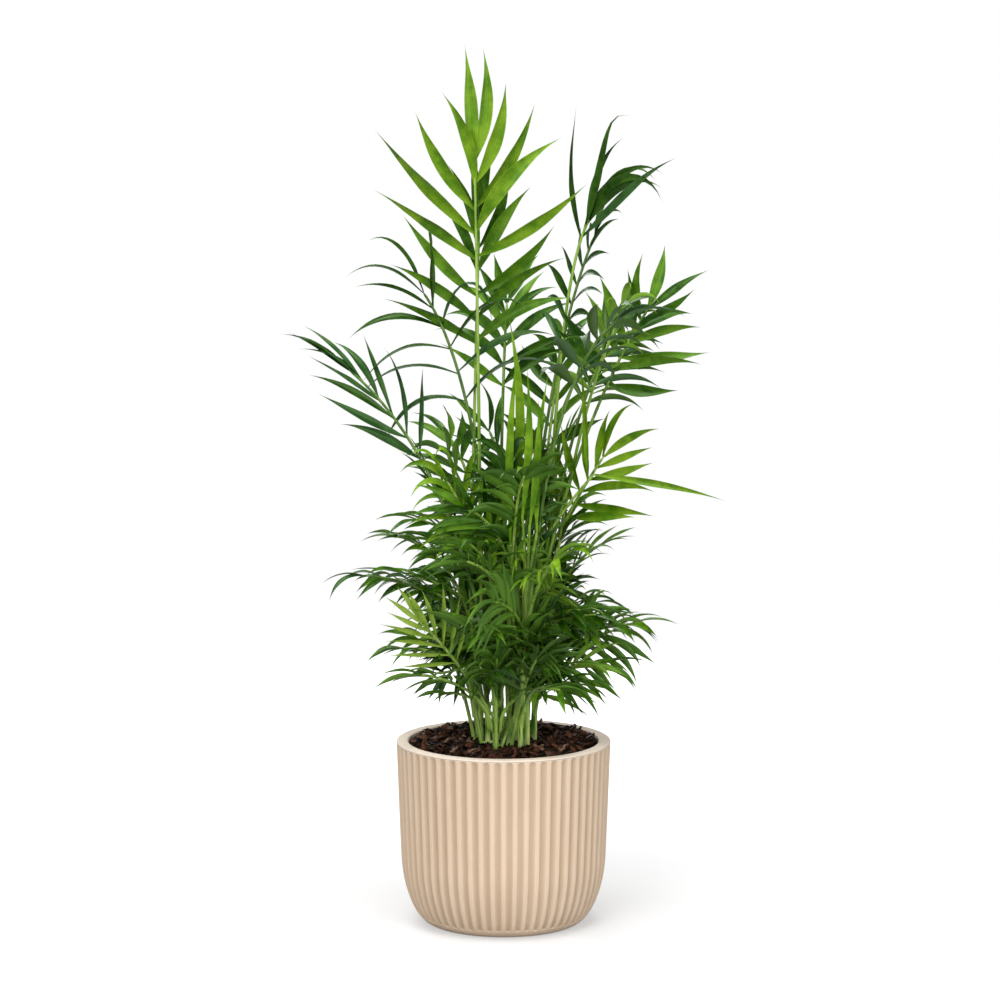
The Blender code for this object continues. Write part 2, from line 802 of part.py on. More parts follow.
def parent_all(name):
    """Hangs every solid on one empty at the middle of the pot's underside."""
    solids = list(bpy.context.scene.collection.objects)
    holder = bpy.data.objects.new(name, None)
    bpy.context.scene.collection.objects.link(holder)
    for solid in solids:
        solid.parent = holder


def main():
    clear_scene()
    ceramic = material("pot_ceramic", POT_BEIGE, POT_ROUGHNESS)
    mix_brown = material("potting_mix", SOIL_BROWN, SOIL_ROUGHNESS)
    stem_green = material("stem_green", CANE_GREEN, CANE_ROUGHNESS)
    frond_green = material("frond_green", FROND_GREEN, FROND_ROUGHNESS)
    looks = dict.fromkeys((frond.name for frond in all_fronds()), frond_green)
    young = material("frond_young", YOUNG_GREEN, FROND_ROUGHNESS)
    looks.update(dict.fromkeys(YOUNG_FRONDS, young))
    deep = material("frond_deep", DEEP_GREEN, FROND_ROUGHNESS)
    looks.update(dict.fromkeys(DEEP_FRONDS, deep))

    bodies = []
    vessels = (("pot", pot_parts(), ceramic), ("soil", soil_parts(), mix_brown))
    for name, parts, look in vessels:
        mesh_object(name, *parts, look)
        bodies.append(body_of(*parts, name))

    canes, grown = grow_limbs()
    carriers = []
    for index, cane in enumerate(canes):
        name = f"stem_{index + 1}"
        parts = tube_solid(cane, CANE_SIDES, CANE_RINGS, Vector((1.0, 0.0, 0.0)))
        mesh_object(name, *parts, stem_green)
        carriers.append(body_of(*parts, name))
    bodies += carriers

    ribs = []
    for frond, rib, index in grown:
        rings = RIB_LEAST_RINGS + round(path_length(rib.points) / RIB_SPAN)
        facing = -face_frame(frond, rib, 0.0)[1]
        points, faces = tube_solid(rib, RIB_SIDES, rings, facing)
        parts = (seat_foot(points, carriers[index].tree), faces)
        if touches(*parts, bodies, frond.name):
            print(f"{frond.name}: rib touches")
        ribs.append(parts)
        bodies.append(body_of(*parts, frond.name))

    dice = random.Random(SEED)
    kept = lost = 0
    for (frond, rib, _), parts in zip(grown, ribs):
        leaves, skipped = frond_leaves(frond, rib, dice, bodies)
        kept += len(leaves)
        lost += skipped
        for leaf in leaves:
            bodies.append(body_of(*leaf, frond.name))
        join_frond(frond.name, parts, leaves, looks[frond.name])
    parent_all("potted_palm")
    print(f"{len(grown)} fronds, {kept} leaflets, {lost} skipped")


if __name__ == "__main__":
    main()
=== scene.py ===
"""Potted parlour palm: the looks of its fronds, stems, potting mix and fluted pot.

The plant grows here by the same rule as its solids, carried to finer leaflets.
Growth sizes are in millimetres and angles in degrees; a mesh is made in metres.
The pot's flat underside is at z = 0, its axis is Z and the photographed side is -Y.
"""

import logging
import math
import random
from collections.abc import Sequence
from dataclasses import dataclass, field
from enum import Enum

import bpy
import numpy as np
from mathutils import Matrix, Vector


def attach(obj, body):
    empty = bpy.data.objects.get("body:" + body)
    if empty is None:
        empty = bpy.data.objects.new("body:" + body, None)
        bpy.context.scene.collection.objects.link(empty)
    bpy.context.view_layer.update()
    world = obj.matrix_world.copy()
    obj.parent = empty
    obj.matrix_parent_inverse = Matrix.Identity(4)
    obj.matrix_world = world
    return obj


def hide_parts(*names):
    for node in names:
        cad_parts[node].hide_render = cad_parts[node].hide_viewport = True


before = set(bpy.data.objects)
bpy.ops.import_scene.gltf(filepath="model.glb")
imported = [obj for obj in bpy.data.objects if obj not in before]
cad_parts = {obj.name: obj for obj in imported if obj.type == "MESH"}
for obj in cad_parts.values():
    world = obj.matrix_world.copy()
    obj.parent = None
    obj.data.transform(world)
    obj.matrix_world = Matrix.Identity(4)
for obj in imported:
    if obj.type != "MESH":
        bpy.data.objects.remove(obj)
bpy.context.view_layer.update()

LOG = logging.getLogger("palm")
BODY = "root"
MM = 0.001
UP = Vector((0.0, 0.0, 1.0))
GOLDEN_ANGLE = 137.508
CAMERA_SIDE = 270.0
INWARDS = -1.0
FULL_TURN = 360.0
SETTING_SEED = 41
BEND_SEED = 42
RIPPLE_SEED = 43
STRAY_SEED = 44
STEM_SLIMNESS = 0.72
BLADE_MAP = "blade"
WHITE = (1.0, 1.0, 1.0)

Range = tuple[float, float]
Triple = tuple[float, float, float]
Colour = Triple
Samples = tuple[np.ndarray, np.ndarray]
Faces = list[tuple[int, ...]]
Maps = list[tuple[Range, ...]]
Socket = bpy.types.NodeSocket
Outputs = bpy.types.NodeOutputs
Piece = bpy.types.Object
Look = bpy.types.Material
Named = float | int | Vector
Feed = Named | str | tuple | Socket | bpy.types.ID
Feeds = dict[str | int, Feed]


def polar(radius: float, azimuth: float, height: float = 0.0) -> Vector:
    """Gives a point round the pot's axis, at an angle in degrees from +X towards +Y."""
    angle = math.radians(azimuth)
    return Vector((radius * math.cos(angle), radius * math.sin(angle), height))


def mix(low: float, high: float, share: float) -> float:
    """Gives the value at a share of the way from low to high."""
    return low + (high - low) * share


def even_shares(count: int) -> list[float]:
    """Gives the shares from 0 to 1 that part a length into so many equal steps."""
    return [step / count for step in range(count + 1)]


def arc(start: Vector, bend: Vector, end: Vector, steps: int) -> list[Vector]:
    """Gives the points of one curve from start to end that leans towards bend."""
    shares = even_shares(steps)
    return [start.lerp(bend, share).lerp(bend.lerp(end, share), share) for share in shares]


def square_to(vector: Vector, axis: Vector) -> Vector:
    """Gives the direction of the part of a vector that stands square to an axis."""
    return (vector - axis * vector.dot(axis)).normalized()


def level_ring(radius: float, sides: int, height: float) -> list[Vector]:
    """Gives the points of a level ring round the pot's axis."""
    return [polar(radius, FULL_TURN * side / sides, height) for side in range(sides)]


def neighbours(count: int) -> list[tuple[int, int]]:
    """Gives each number of a ring's points with the one after it."""
    return [(index, (index + 1) % count) for index in range(count)]


def ring_faces(first: int, second: int, count: int) -> Faces:
    """Gives the four-cornered faces of the wall between two rings of points."""
    return [(first + a, first + b, second + b, second + a) for a, b in neighbours(count)]


def add_object(name: str, data: bpy.types.ID) -> Piece:
    """Makes an object and links it to the scene.

    Args:
        name: Its name.
        data: Its mesh, curve, lamp or camera.

    Returns:
        The object.
    """
    made = bpy.data.objects.new(name, data)
    bpy.context.scene.collection.objects.link(made)
    return made


def to_mesh(name: str, points: Sequence[Vector], faces: Faces, maps: Maps | None = None) -> Piece:
    """Makes an object in metres from points in millimetres.

    Args:
        name: Its name.
        points: Its points.
        faces: Its faces, as numbers of points.
        maps: A (u, v) pair for each corner of each face.

    Returns:
        The object, linked to the scene.
    """
    mesh = bpy.data.meshes.new(name)
    mesh.from_pydata([tuple(point * MM) for point in points], [], faces)
    if maps is not None:
        layer = mesh.uv_layers.new(name=BLADE_MAP)
        layer.data.foreach_set("uv", [value for corners in maps for pair in corners for value in pair])
    mesh.shade_smooth()
    return add_object(name, mesh)


def turned_body(
    name: str, rings: Sequence[list[Vector]], poles: Sequence[Vector], downwards: bool = False
) -> Piece:
    """Makes a body of rings, with a wall from each to the next and a fan round each pole.

    Args:
        name: The object's name.
        rings: The rings, each with the same number of points.
        poles: The middle of the first ring and, on a closed body, that of the last.
        downwards: Whether the rings start at the top, so that the faces turn over.

    Returns:
        The object.
    """
    count = len(rings[0])
    points = [poles[0], *(point for ring in rings for point in ring), *poles[1:]]
    faces: Faces = [(0, 1 + after, 1 + side) for side, after in neighbours(count)]
    for index in range(len(rings) - 1):
        faces += ring_faces(1 + index * count, 1 + (index + 1) * count, count)
    if len(poles) > 1:
        last = 1 + (len(rings) - 1) * count
        faces += [(last + side, last + after, len(points) - 1) for side, after in neighbours(count)]
    if downwards:
        faces = [(first, *reversed(rest)) for first, *rest in faces]
    return to_mesh(name, points, faces)


class Tint(Enum):
    """The greens that the sprays of the plant are dealt."""

    PALE = "pale"
    YOUNG = "young"
    FRESH = "fresh"
    MIDDLE = "middle"
    DEEP = "deep"
    # A deep green with a painted grey-blue sheen in its colours.
    BLUISH = "bluish"


@dataclass(frozen=True)
class Frond:
    """One frond, by where its rib ends and how its blade is set.

    The rib's tip stands at azimuth, reach and height. Its arch runs from 0 for
    a straight rib to 1 for one that bends over. The leaflets start past the
    bare share of the rib, in so many pairs beside the one at the tip. Each has
    a length, a width, an angle of spread and a droop. The blade's upper side
    turns to the azimuth look, or inwards where that is negative, and as far
    upwards as level says. The spread narrows towards the tip, sooner where
    gather is low, to the fork between the last two leaflets. A basal frond
    rises from the foot of its stem.
    """

    name: str
    azimuth: float
    reach: float
    height: float
    arch: float
    bare: float
    pairs: int
    leaf: float
    width: float
    spread: float
    droop: float
    look: float = INWARDS
    level: float = 0.3
    gather: float = 1.8
    fork: float = 1.75
    basal: bool = False


TALL_FRONDS = (
    Frond("frond_top", 190, 20, 534, 0.1, 0.76, 4, 98, 14, 56, 0.04, CAMERA_SIDE, 0.0, 0.9, 0.6),
    Frond("frond_top_behind", 140, 22, 488, 0.1, 0.68, 5, 80, 11, 60, 0.25, 262, 0.1, 1.1, 0.8),
    Frond("frond_high_right", 4, 60, 494, 0.8, 0.85, 3, 92, 9, 18, 1.0, 252, 0.3, 1.0, 0.9),
    Frond("frond_high_left", 168, 57, 442, 0.6, 0.5, 5, 84, 8, 62, 1.5, 262, 0.85),
    Frond("frond_far_left", 184, 107, 390, 0.5, 0.56, 5, 72, 8, 32, 0.45, 312, 0.35, 1.2, 0.6),
    Frond("frond_broad_right", 6, 101, 431, 0.3, 0.66, 6, 60, 10.5, 60, 0.3, CAMERA_SIDE, 0.1, 1.4),
    Frond("frond_grey_right", 28, 72, 480, 0.45, 0.6, 6, 46, 7, 50, 1.05, level=0.5),
    Frond("frond_dark_right", 326, 92, 428, 0.7, 0.6, 5, 62, 11, 54, 1.1, level=0.5),
    Frond("frond_light_right", 352, 70, 330, 0.15, 0.54, 5, 60, 9, 46, 0.55, CAMERA_SIDE, 0.1),
    Frond("frond_long_right", 348, 64, 318, 0.2, 0.88, 0, 98, 10, 42, 0.8, CAMERA_SIDE, 0.2),
    Frond("frond_back", 88, 70, 430, 0.55, 0.6, 5, 58, 10, 50, 0.6, level=0.3),
    Frond("frond_back_right", 62, 86, 392, 0.5, 0.56, 5, 56, 10, 50, 0.6, level=0.4),
    Frond("frond_back_left", 116, 86, 332, 0.6, 0.52, 5, 54, 10, 50, 0.6, level=0.4),
    Frond("frond_front", 286, 52, 322, 0.8, 0.5, 5, 50, 10, 52, 0.9, level=0.4),
)

LOW_FRONDS = (
    Frond("frond_pale_fan", 223, 76, 220, 0.1, 0.5, 5, 54, 8, 46, 0.15, 262, 0.0, 1.1, 0.9),
    Frond("frond_low_far_left", 184, 96, 246, 0.95, 0.42, 5, 46, 8, 52, 1.2, level=0.5),
    Frond("frond_low_left", 199, 74, 198, 0.9, 0.4, 5, 40, 8, 54, 1.1, level=0.6),
    Frond("frond_lowest_left", 208, 44, 166, 0.85, 0.45, 3, 30, 7, 50, 0.9, level=0.5),
    Frond("frond_mid_left", 170, 72, 270, 0.8, 0.46, 5, 42, 8, 52, 0.8, level=0.5),
    Frond("frond_upper_left", 193, 60, 286, 0.85, 0.5, 5, 44, 8, 50, 1.1, level=0.5),
    Frond("frond_low_far_right", 352, 80, 212, 0.95, 0.44, 5, 44, 8, 50, 1.25, level=0.5),
    Frond("frond_lowest_right", 330, 56, 174, 0.95, 0.38, 5, 40, 8, 52, 1.0, level=0.5),
    Frond("frond_mid_right", 9, 64, 262, 0.7, 0.46, 5, 46, 8, 50, 0.6, level=0.4),
    Frond("frond_low_right", 322, 68, 228, 0.8, 0.46, 5, 44, 8, 50, 0.9, level=0.5),
    Frond("frond_low_front", 262, 60, 214, 0.9, 0.44, 5, 42, 9, 50, 1.0, level=0.5),
    Frond("frond_mid_front", 240, 52, 262, 0.8, 0.46, 5, 42, 9, 50, 0.9, level=0.5),
)


@dataclass(frozen=True)
class Tier:
    """A ring of like fronds that fills the clump all round."""

    name: str
    count: int
    first_azimuth: float
    reach: Range
    height: Range
    arch: Range
    pairs: int
    leaf: Range
    width: float
    droop: Range
    rank_step: int = 3
    turn_step: int = 2
    bare: float = 0.42
    spread: Range = (42.0, 56.0)
    level: float = 0.45

    def fronds(self) -> list[Frond]:
        """Gives the ring's fronds, turned by the golden angle from one to the next.

        Returns:
            The fronds, in the order in which they seek their places.
        """
        grown = []
        for index in range(self.count):
            share = index * self.rank_step % self.count / (self.count - 1)
            other = index * self.turn_step % self.count / (self.count - 1)
            grown.append(
                Frond(
                    name=f"frond_{self.name}_{index + 1}",
                    azimuth=(self.first_azimuth + index * GOLDEN_ANGLE) % FULL_TURN,
                    reach=mix(*self.reach, share),
                    height=mix(*self.height, 1.0 - share),
                    arch=mix(*self.arch, other),
                    bare=self.bare,
                    pairs=self.pairs,
                    leaf=mix(*self.leaf, 1.0 - other),
                    width=self.width,
                    spread=mix(*self.spread, share),
                    droop=mix(*self.droop, other),
                    level=self.level,
                )
            )
        return grown


TIERS = (
    Tier("skirt", 7, 26.0, (44, 76), (176, 216), (0.6, 1.0), 4, (38, 48), 9.0, (0.7, 1.4)),
    Tier("middle", 7, 65.0, (50, 92), (216, 284), (0.4, 0.95), 4, (42, 54), 9.5, (0.5, 1.3)),
    Tier("upper", 6, 110.0, (30, 62), (276, 344), (0.3, 0.8), 4, (44, 56), 9.5, (0.45, 1.1), 5),
)


@dataclass(frozen=True)
class Filling:
    """Small fronds strewn through the clump, each a little unlike the last."""

    name: str
    count: int
    first_azimuth: float
    reach: Range
    height: Range
    arch: Range
    pairs: int
    leaf: Range
    width: Range
    droop: Range
    bare: Range = (0.36, 0.52)
    spread: Range = (38.0, 62.0)
    level: Range = (0.1, 0.7)
    look: Range = (0.0, FULL_TURN)
    basal: bool = False
    turn: float = GOLDEN_ANGLE

    def fronds(self, dice: random.Random) -> list[Frond]:
        """Draws the fronds, each turned by the same angle from the one before.

        Args:
            dice: The source of chance.

        Returns:
            The fronds.
        """
        drawn = ("reach", "height", "arch", "leaf", "width", "droop", "bare", "spread", "level", "look")
        return [
            Frond(
                name=f"{self.name}_{index + 1}",
                azimuth=(self.first_azimuth + index * self.turn) % FULL_TURN,
                pairs=self.pairs,
                basal=self.basal,
                **{size: dice.uniform(*getattr(self, size)) for size in drawn},
            )
            for index in range(self.count)
        ]


STIFF_FRONDS = ("frond_pale_fan",)
FAN_AZIMUTHS = (200.0, 252.0)
FAN_TOP = 262.0

FILLINGS = (
    Filling("low", 26, 200.0, (20, 54), (170, 214), (0.3, 1.0), 4, (28, 42), (7.0, 10.0), (0.5, 1.6)),
    Filling("inner", 28, 245.0, (16, 80), (176, 270), (0.2, 0.95), 5, (38, 56), (7.5, 11.0), (0.4, 1.8)),
    Filling("crown", 18, 290.0, (8, 54), (240, 344), (0.2, 0.8), 5, (40, 58), (7.5, 11.0), (0.4, 1.6)),
    Filling(
        "basal", 13, 20.0, (32, 56), (186, 236), (0.0, 0.3), 5, (36, 50), (7.0, 10.0), (0.9, 2.0),
        bare=(0.46, 0.58), basal=True,
    ),
    Filling(
        "right", 3, 349.0, (78, 98), (398, 438), (0.4, 0.9), 5, (46, 60), (8.5, 10.5), (0.8, 1.8),
        bare=(0.66, 0.76), turn=15.0,
    ),
)


@dataclass
class Limb:
    """A tapering limb or stalk as points along its axis, with a radius at each."""

    points: list[Vector]
    radii: list[float]

    def at(self, share: float) -> Vector:
        """Gives the point of the axis at a share of the limb, from 0 at its foot to 1 at its tip."""
        index = min(int(share * (len(self.points) - 1)), len(self.points) - 2)
        return self.points[index].lerp(self.points[index + 1], share * (len(self.points) - 1) - index)

    def radius_at(self, share: float) -> float:
        """Gives the radius at a share of the limb."""
        return mix(self.radii[0], self.radii[-1], share)

    def direction_at(self, share: float) -> Vector:
        """Gives the limb's direction at a share of its length."""
        step = 1.0 / (len(self.points) - 1)
        return (self.at(min(share + step, 1.0)) - self.at(max(share - step, 0.0))).normalized()

    def length(self) -> float:
        """Gives the length of the limb's axis."""
        pairs = zip(self.points, self.points[1:])
        return sum((after - before).length for before, after in pairs)

    def samples(self, spacing: float, least: int) -> Samples:
        """Gives points along the axis, so far apart or in the least steps, and the radius at each."""
        shares = even_shares(max(int(self.length() / spacing), least))
        return np.array([self.at(share)[:] for share in shares]), np.array([*map(self.radius_at, shares)])


@dataclass(frozen=True)
class GrownFrond:
    """A frond with its rib, the stem that carries it and how high up that stem."""

    frond: Frond
    rib: Limb
    cane: int
    foot_share: float


@dataclass(frozen=True)
class Clump:
    """The stems and the ribs that grow from them, each on its own free path."""

    canes: int = 12
    cane_rank_step: int = 5
    radius: float = 23.0
    centre: Range = (3.0, 4.0)
    soil_top: float = 124.0
    clearance: float = 0.3
    limb_gap: float = 0.6
    own_stem_gap: float = 0.15
    cane_radii: Range = (2.8, 1.9)
    tallness: Range = (104.0, 58.0)
    lean: float = 0.16
    rings: int = 4
    rib_foot_radius: float = 1.6
    rib_tip_radius: float = 1.05
    rib_steps: int = 40
    bend_aside: Range = (0.5, 0.4)
    bend_up: Range = (0.5, 0.45)
    foot_shares: tuple[float, ...] = (1.0, 0.85, 0.7, 0.55, 0.42, 0.32)
    lowest_foot: float = 0.3
    foot_slack: float = 0.05
    foot_step: float = 0.03
    high_frond: float = 0.9
    foot_rise: float = 210.0
    foot_turn: float = 0.06
    tries_a_cane: int = 14
    nudge: float = 2.4
    free_samples: int = 5
    least_samples: int = 4
    spacing: float = 1.5
    apart_cost: float = 0.5
    held_cost: float = 16.0
    high_cost: float = 2.0
    headroom: float = 30.0
    filler_foot: float = 0.5
    basal_foot: float = 0.03

    def cane(self, index: int) -> Limb:
        """Gives a stem: they stand on a sunflower pattern and lean outwards.

        Args:
            index: The stem's number, from 0.

        Returns:
            The stem.
        """
        share = (index + 0.5) / self.canes
        azimuth = index * GOLDEN_ANGLE
        foot = polar(self.radius * math.sqrt(share), azimuth, self.soil_top + self.clearance)
        foot += Vector((*self.centre, 0.0))
        rank = index * self.cane_rank_step % self.canes
        tall = mix(*self.tallness, rank / (self.canes - 1))
        lean = polar(self.lean * tall * share, azimuth)
        rises = even_shares(self.rings)
        points = [foot + UP * tall * rise + lean * rise * rise for rise in rises]
        return Limb(points, [mix(*self.cane_radii, rise) for rise in rises])

    def rib(self, frond: Frond, cane: Limb, foot_share: float, nudge: float) -> Limb:
        """Gives a frond's stalk and rib: one arching curve from its stem to its tip.

        Args:
            frond: The frond.
            cane: The stem that carries it.
            foot_share: Where it leaves the stem, as a share of the stem's height.
            nudge: How far its bend is moved sideways.

        Returns:
            The rib.
        """
        tip = polar(frond.reach, frond.azimuth, frond.height)
        carrier = cane.at(foot_share)
        outward = Vector((tip.x - carrier.x, tip.y - carrier.y, 0.0)).normalized()
        across = Vector((-outward.y, outward.x, 0.0))
        bend = carrier.lerp(tip, self.bend_aside[0] - self.bend_aside[1] * min(frond.arch, 1.0))
        bend.z = mix(carrier.z, tip.z, self.bend_up[0] + self.bend_up[1] * frond.arch)
        bend += across * nudge
        if foot_share >= 1.0:
            grain = cane.direction_at(1.0)
            slant = grain.cross((bend - carrier).normalized()).length
            foot = carrier + grain * (self.clearance + self.rib_foot_radius * slant)
        else:
            away = (outward + across * nudge * self.foot_turn).normalized()
            gap = cane.radius_at(foot_share) + self.rib_foot_radius + self.clearance
            foot = carrier + away * gap
        slimming = self.rib_tip_radius - self.rib_foot_radius
        radii = [self.rib_foot_radius + slimming * share for share in even_shares(self.rib_steps)]
        return Limb(arc(foot, bend, tip, self.rib_steps), radii)

    def is_clear(self, samples: Samples, placed: list[Samples], carrier: int, on_tip: bool) -> bool:
        """Tells whether a rib keeps its distance from every limb.

        Args:
            samples: The rib's points and radii.
            placed: Those of the limbs that stand already.
            carrier: Which of these is the rib's own stem.
            on_tip: Whether the rib stands on that stem's tip.

        Returns:
            True where it is clear.
        """
        points, radii = samples
        for index, (others, other_radii) in enumerate(placed):
            needed, first = self.limb_gap, 0
            if index == carrier and on_tip:
                needed, first = self.clearance, self.free_samples
            elif index == carrier:
                needed = self.own_stem_gap
            apart = np.linalg.norm(points[first:, None, :] - others[None, :, :], axis=2)
            if (apart - radii[first:, None] - other_radii[None, :]).min() < needed:
                return False
        return True

    def foot_share(self, frond: Frond, held: int, turn: int) -> float:
        """Tells how high up its stem a frond leaves it.

        Args:
            frond: The frond.
            held: How many fronds the stem holds already.
            turn: The number of the try, from 0.

        Returns:
            A share of the stem's height.
        """
        low = min(1.0, max(self.lowest_foot, (frond.height - self.soil_top) / self.foot_rise))
        if held == 0 and low >= self.high_frond:
            return 1.0
        share = self.foot_shares[min(held, len(self.foot_shares) - 1)]
        if low < self.high_frond:
            share = min(share, low)
        return max(share - self.foot_step * (turn // 2), self.lowest_foot - self.foot_slack)

    def cost(self, frond: Frond, cane: Limb, held: int) -> float:
        """Weighs how badly a stem suits a frond: far off, full already or too tall.

        Args:
            frond: The frond.
            cane: The stem.
            held: How many fronds the stem holds already.

        Returns:
            The cost.
        """
        top, tip = cane.points[-1], polar(frond.reach, frond.azimuth)
        apart = (Vector((top.x, top.y, 0.0)) - tip).length
        high = max(0.0, top.z - frond.height + self.headroom)
        return apart * self.apart_cost + held * self.held_cost + high * self.high_cost

    def grow(self, fronds: Sequence[Frond]) -> tuple[list[Limb], list[GrownFrond]]:
        """Grows every stem, and every frond that finds a free path.

        Args:
            fronds: The fronds, in the order in which they seek their places.

        Returns:
            The stems and the fronds.
        """
        canes = [self.cane(index) for index in range(self.canes)]
        placed = [cane.samples(self.spacing, self.least_samples) for cane in canes]
        held = [0] * self.canes
        grown = []
        for frond in fronds:
            costs = [self.cost(frond, cane, held[index]) for index, cane in enumerate(canes)]
            ranked = sorted(range(self.canes), key=costs.__getitem__)
            for attempt in range(self.canes * self.tries_a_cane):
                index, turn = ranked[attempt // self.tries_a_cane], attempt % self.tries_a_cane
                share = self.foot_share(frond, held[index], turn)
                nudge = (1 if turn % 2 else -1) * ((turn + 1) // 2) * self.nudge
                rib = self.rib(frond, canes[index], share, nudge)
                samples = rib.samples(self.spacing, self.least_samples)
                if self.is_clear(samples, placed, index, share >= 1.0):
                    placed.append(samples)
                    held[index] += 1
                    grown.append(GrownFrond(frond, rib, index, share))
                    break
        return canes, grown

    def fill(self, fronds: Sequence[Frond], canes: list[Limb]) -> list[GrownFrond]:
        """Grows the fillers, dealt to the stems in turn from those nearest to each.

        Args:
            fronds: The fillers.
            canes: The stems.

        Returns:
            The fillers, with their ribs.
        """
        held = [0] * self.canes
        grown = []
        for frond in fronds:
            costs = [self.cost(frond, cane, held[index]) for index, cane in enumerate(canes)]
            index = costs.index(min(costs))
            rank = held[index] % len(self.foot_shares)
            share = mix(self.filler_foot, 1.0, self.foot_shares[rank] ** 2)
            if frond.basal:
                share = self.basal_foot
            held[index] += 1
            grown.append(GrownFrond(frond, self.rib(frond, canes[index], share, 0.0), index, share))
        return grown


@dataclass(frozen=True)
class LeafletSetting:
    """How one leaflet is set on its rib."""

    length: float
    angle: float
    droop: float
    lift: float
    roll: float


@dataclass
class Leaflet:
    """One leaflet's axis, with its upper side's direction at each point."""

    points: list[Vector]
    normals: list[Vector]
    half_width: float


@dataclass(frozen=True)
class LeafletRule:
    """How leaflets stand along a rib and how each one bends."""

    steps: int = 12
    face_tilt: float = 0.4
    swell_least: float = 0.78
    swell_stretch: float = 1.1
    swell_start: float = 0.25
    length_range: Range = (0.9, 1.08)
    angle_jitter: float = 3.0
    droop_range: Range = (0.75, 1.25)
    droop_power: float = 1.5
    lift: float = 10.0
    lift_jitter: float = 6.0
    shingle: float = 16.0
    shingle_jitter: float = 5.0
    place_in_pair: float = 0.5
    stagger: float = 0.25
    root_aside: float = 0.3
    root_below: float = 0.1
    sway: float = 15.0
    twist: float = 36.0
    narrowing: Range = (0.78, 1.02)
    slender: float = 0.58
    slender_top: float = 0.74
    slender_power: float = 2.5
    stiff: float = 0.2
    slack: Range = (0.65, 1.45)
    calm: float = 1.5
    wild: float = 1.8

    def face_frame(self, frond: Frond, rib: Limb, share: float) -> tuple[Vector, Vector, Vector]:
        """Gives the blade's directions at a place of its rib.

        Args:
            frond: The frond.
            rib: Its rib.
            share: The place, from 0 at the foot to 1 at the tip.

        Returns:
            The rib's direction, the blade's upper side and its sideways direction.
        """
        along = rib.direction_at(share)
        look = frond.look if frond.look >= 0.0 else frond.azimuth + FULL_TURN / 2.0
        face = polar(1.0, look, self.face_tilt)
        upper = square_to(face, along)
        return along, upper, along.cross(upper)

    def setting(self, frond: Frond, dice: random.Random, index: int, side: int) -> LeafletSetting:
        """Draws one leaflet's own length, angle, droop, lift and roll.

        Args:
            frond: The frond.
            dice: The source of chance.
            index: The pair's number.
            side: -1 or 1.

        Returns:
            The leaflet's setting.
        """
        share = index / max(frond.pairs, 1)
        place = min(1.0, share * self.swell_stretch + self.swell_start)
        swell = mix(self.swell_least, 1.0, math.sin(math.pi * place))
        length = frond.leaf * swell * dice.uniform(*self.length_range)
        last = math.degrees(math.atan(frond.fork * frond.width / frond.leaf))
        angle = mix(frond.spread, last, share**frond.gather)
        angle += dice.uniform(-self.angle_jitter, self.angle_jitter)
        droop = frond.droop * dice.uniform(*self.droop_range)
        lift = self.lift + dice.uniform(-self.lift_jitter, self.lift_jitter)
        roll = side * (self.shingle + dice.uniform(-self.shingle_jitter, self.shingle_jitter))
        return LeafletSetting(length, angle, droop, lift, roll)

    def leaflet(
        self, grown: GrownFrond, index: int, side: int, setting: LeafletSetting, fine: random.Random
    ) -> Leaflet:
        """Lays one leaflet from its root on the rib to its tip.

        Args:
            grown: The frond with its rib.
            index: The pair's number.
            side: -1 or 1.
            setting: How the leaflet is set.
            fine: Draws how far it bends sideways, twists and narrows.

        Returns:
            The leaflet.
        """
        frond, rib = grown.frond, grown.rib
        place = index + self.place_in_pair + self.stagger * side / max(frond.pairs, 1)
        share = mix(frond.bare, 1.0, min(1.0, place / (frond.pairs + self.place_in_pair)))
        along, upper, across = self.face_frame(frond, rib, share)
        raised, opened = math.radians(setting.lift), math.radians(setting.angle)
        out = across * side * math.cos(raised) + upper * math.sin(raised)
        start = along * math.cos(opened) + out * math.sin(opened)
        normal = upper.lerp(UP, frond.level)
        normal = Matrix.Rotation(math.radians(setting.roll), 3, start) @ normal
        root = across * side * self.root_aside - upper * self.root_below
        points = [rib.at(share) + root * rib.radius_at(share)]
        normals = []
        freedom = self.calm if frond in TALL_FRONDS else self.wild
        if frond.name in STIFF_FRONDS:
            freedom = self.stiff
        sway = math.radians(fine.uniform(-self.sway, self.sway)) * freedom
        twist = math.radians(fine.uniform(-self.twist, self.twist)) * freedom
        droop = setting.droop * fine.uniform(*self.slack)
        for step in range(self.steps):
            part = (step + 0.5) / self.steps
            heading = (start - UP * droop * part**self.droop_power).normalized()
            heading = Matrix.Rotation(sway * (2.0 * part - 1.0), 3, normal) @ heading
            points.append(points[-1] + heading * setting.length / self.steps)
            turned = Matrix.Rotation(twist * part, 3, heading) @ normal
            normals.append(square_to(turned, heading))
        normals.append(normals[-1])
        half = frond.width / 2.0 * fine.uniform(*self.narrowing)
        if frond not in TALL_FRONDS or frond.pairs == 0:
            half *= self.slender
        else:
            half *= mix(1.0, self.slender_top, share**self.slender_power)
        return Leaflet(points, normals, half)

    def leaflets(
        self, grown: Sequence[GrownFrond], dice: random.Random, fine: random.Random
    ) -> dict[str, list[Leaflet]]:
        """Lays every frond's leaflets.

        Args:
            grown: The fronds.
            dice: Draws how each leaflet is set.
            fine: Draws its bend and twist.

        Returns:
            The leaflets by the name of their frond.
        """
        return {
            each.frond.name: [
                self.leaflet(each, index, side, self.setting(each.frond, dice, index, side), fine)
                for index in range(each.frond.pairs + 1)
                for side in (-1, 1)
            ]
            for each in grown
        }


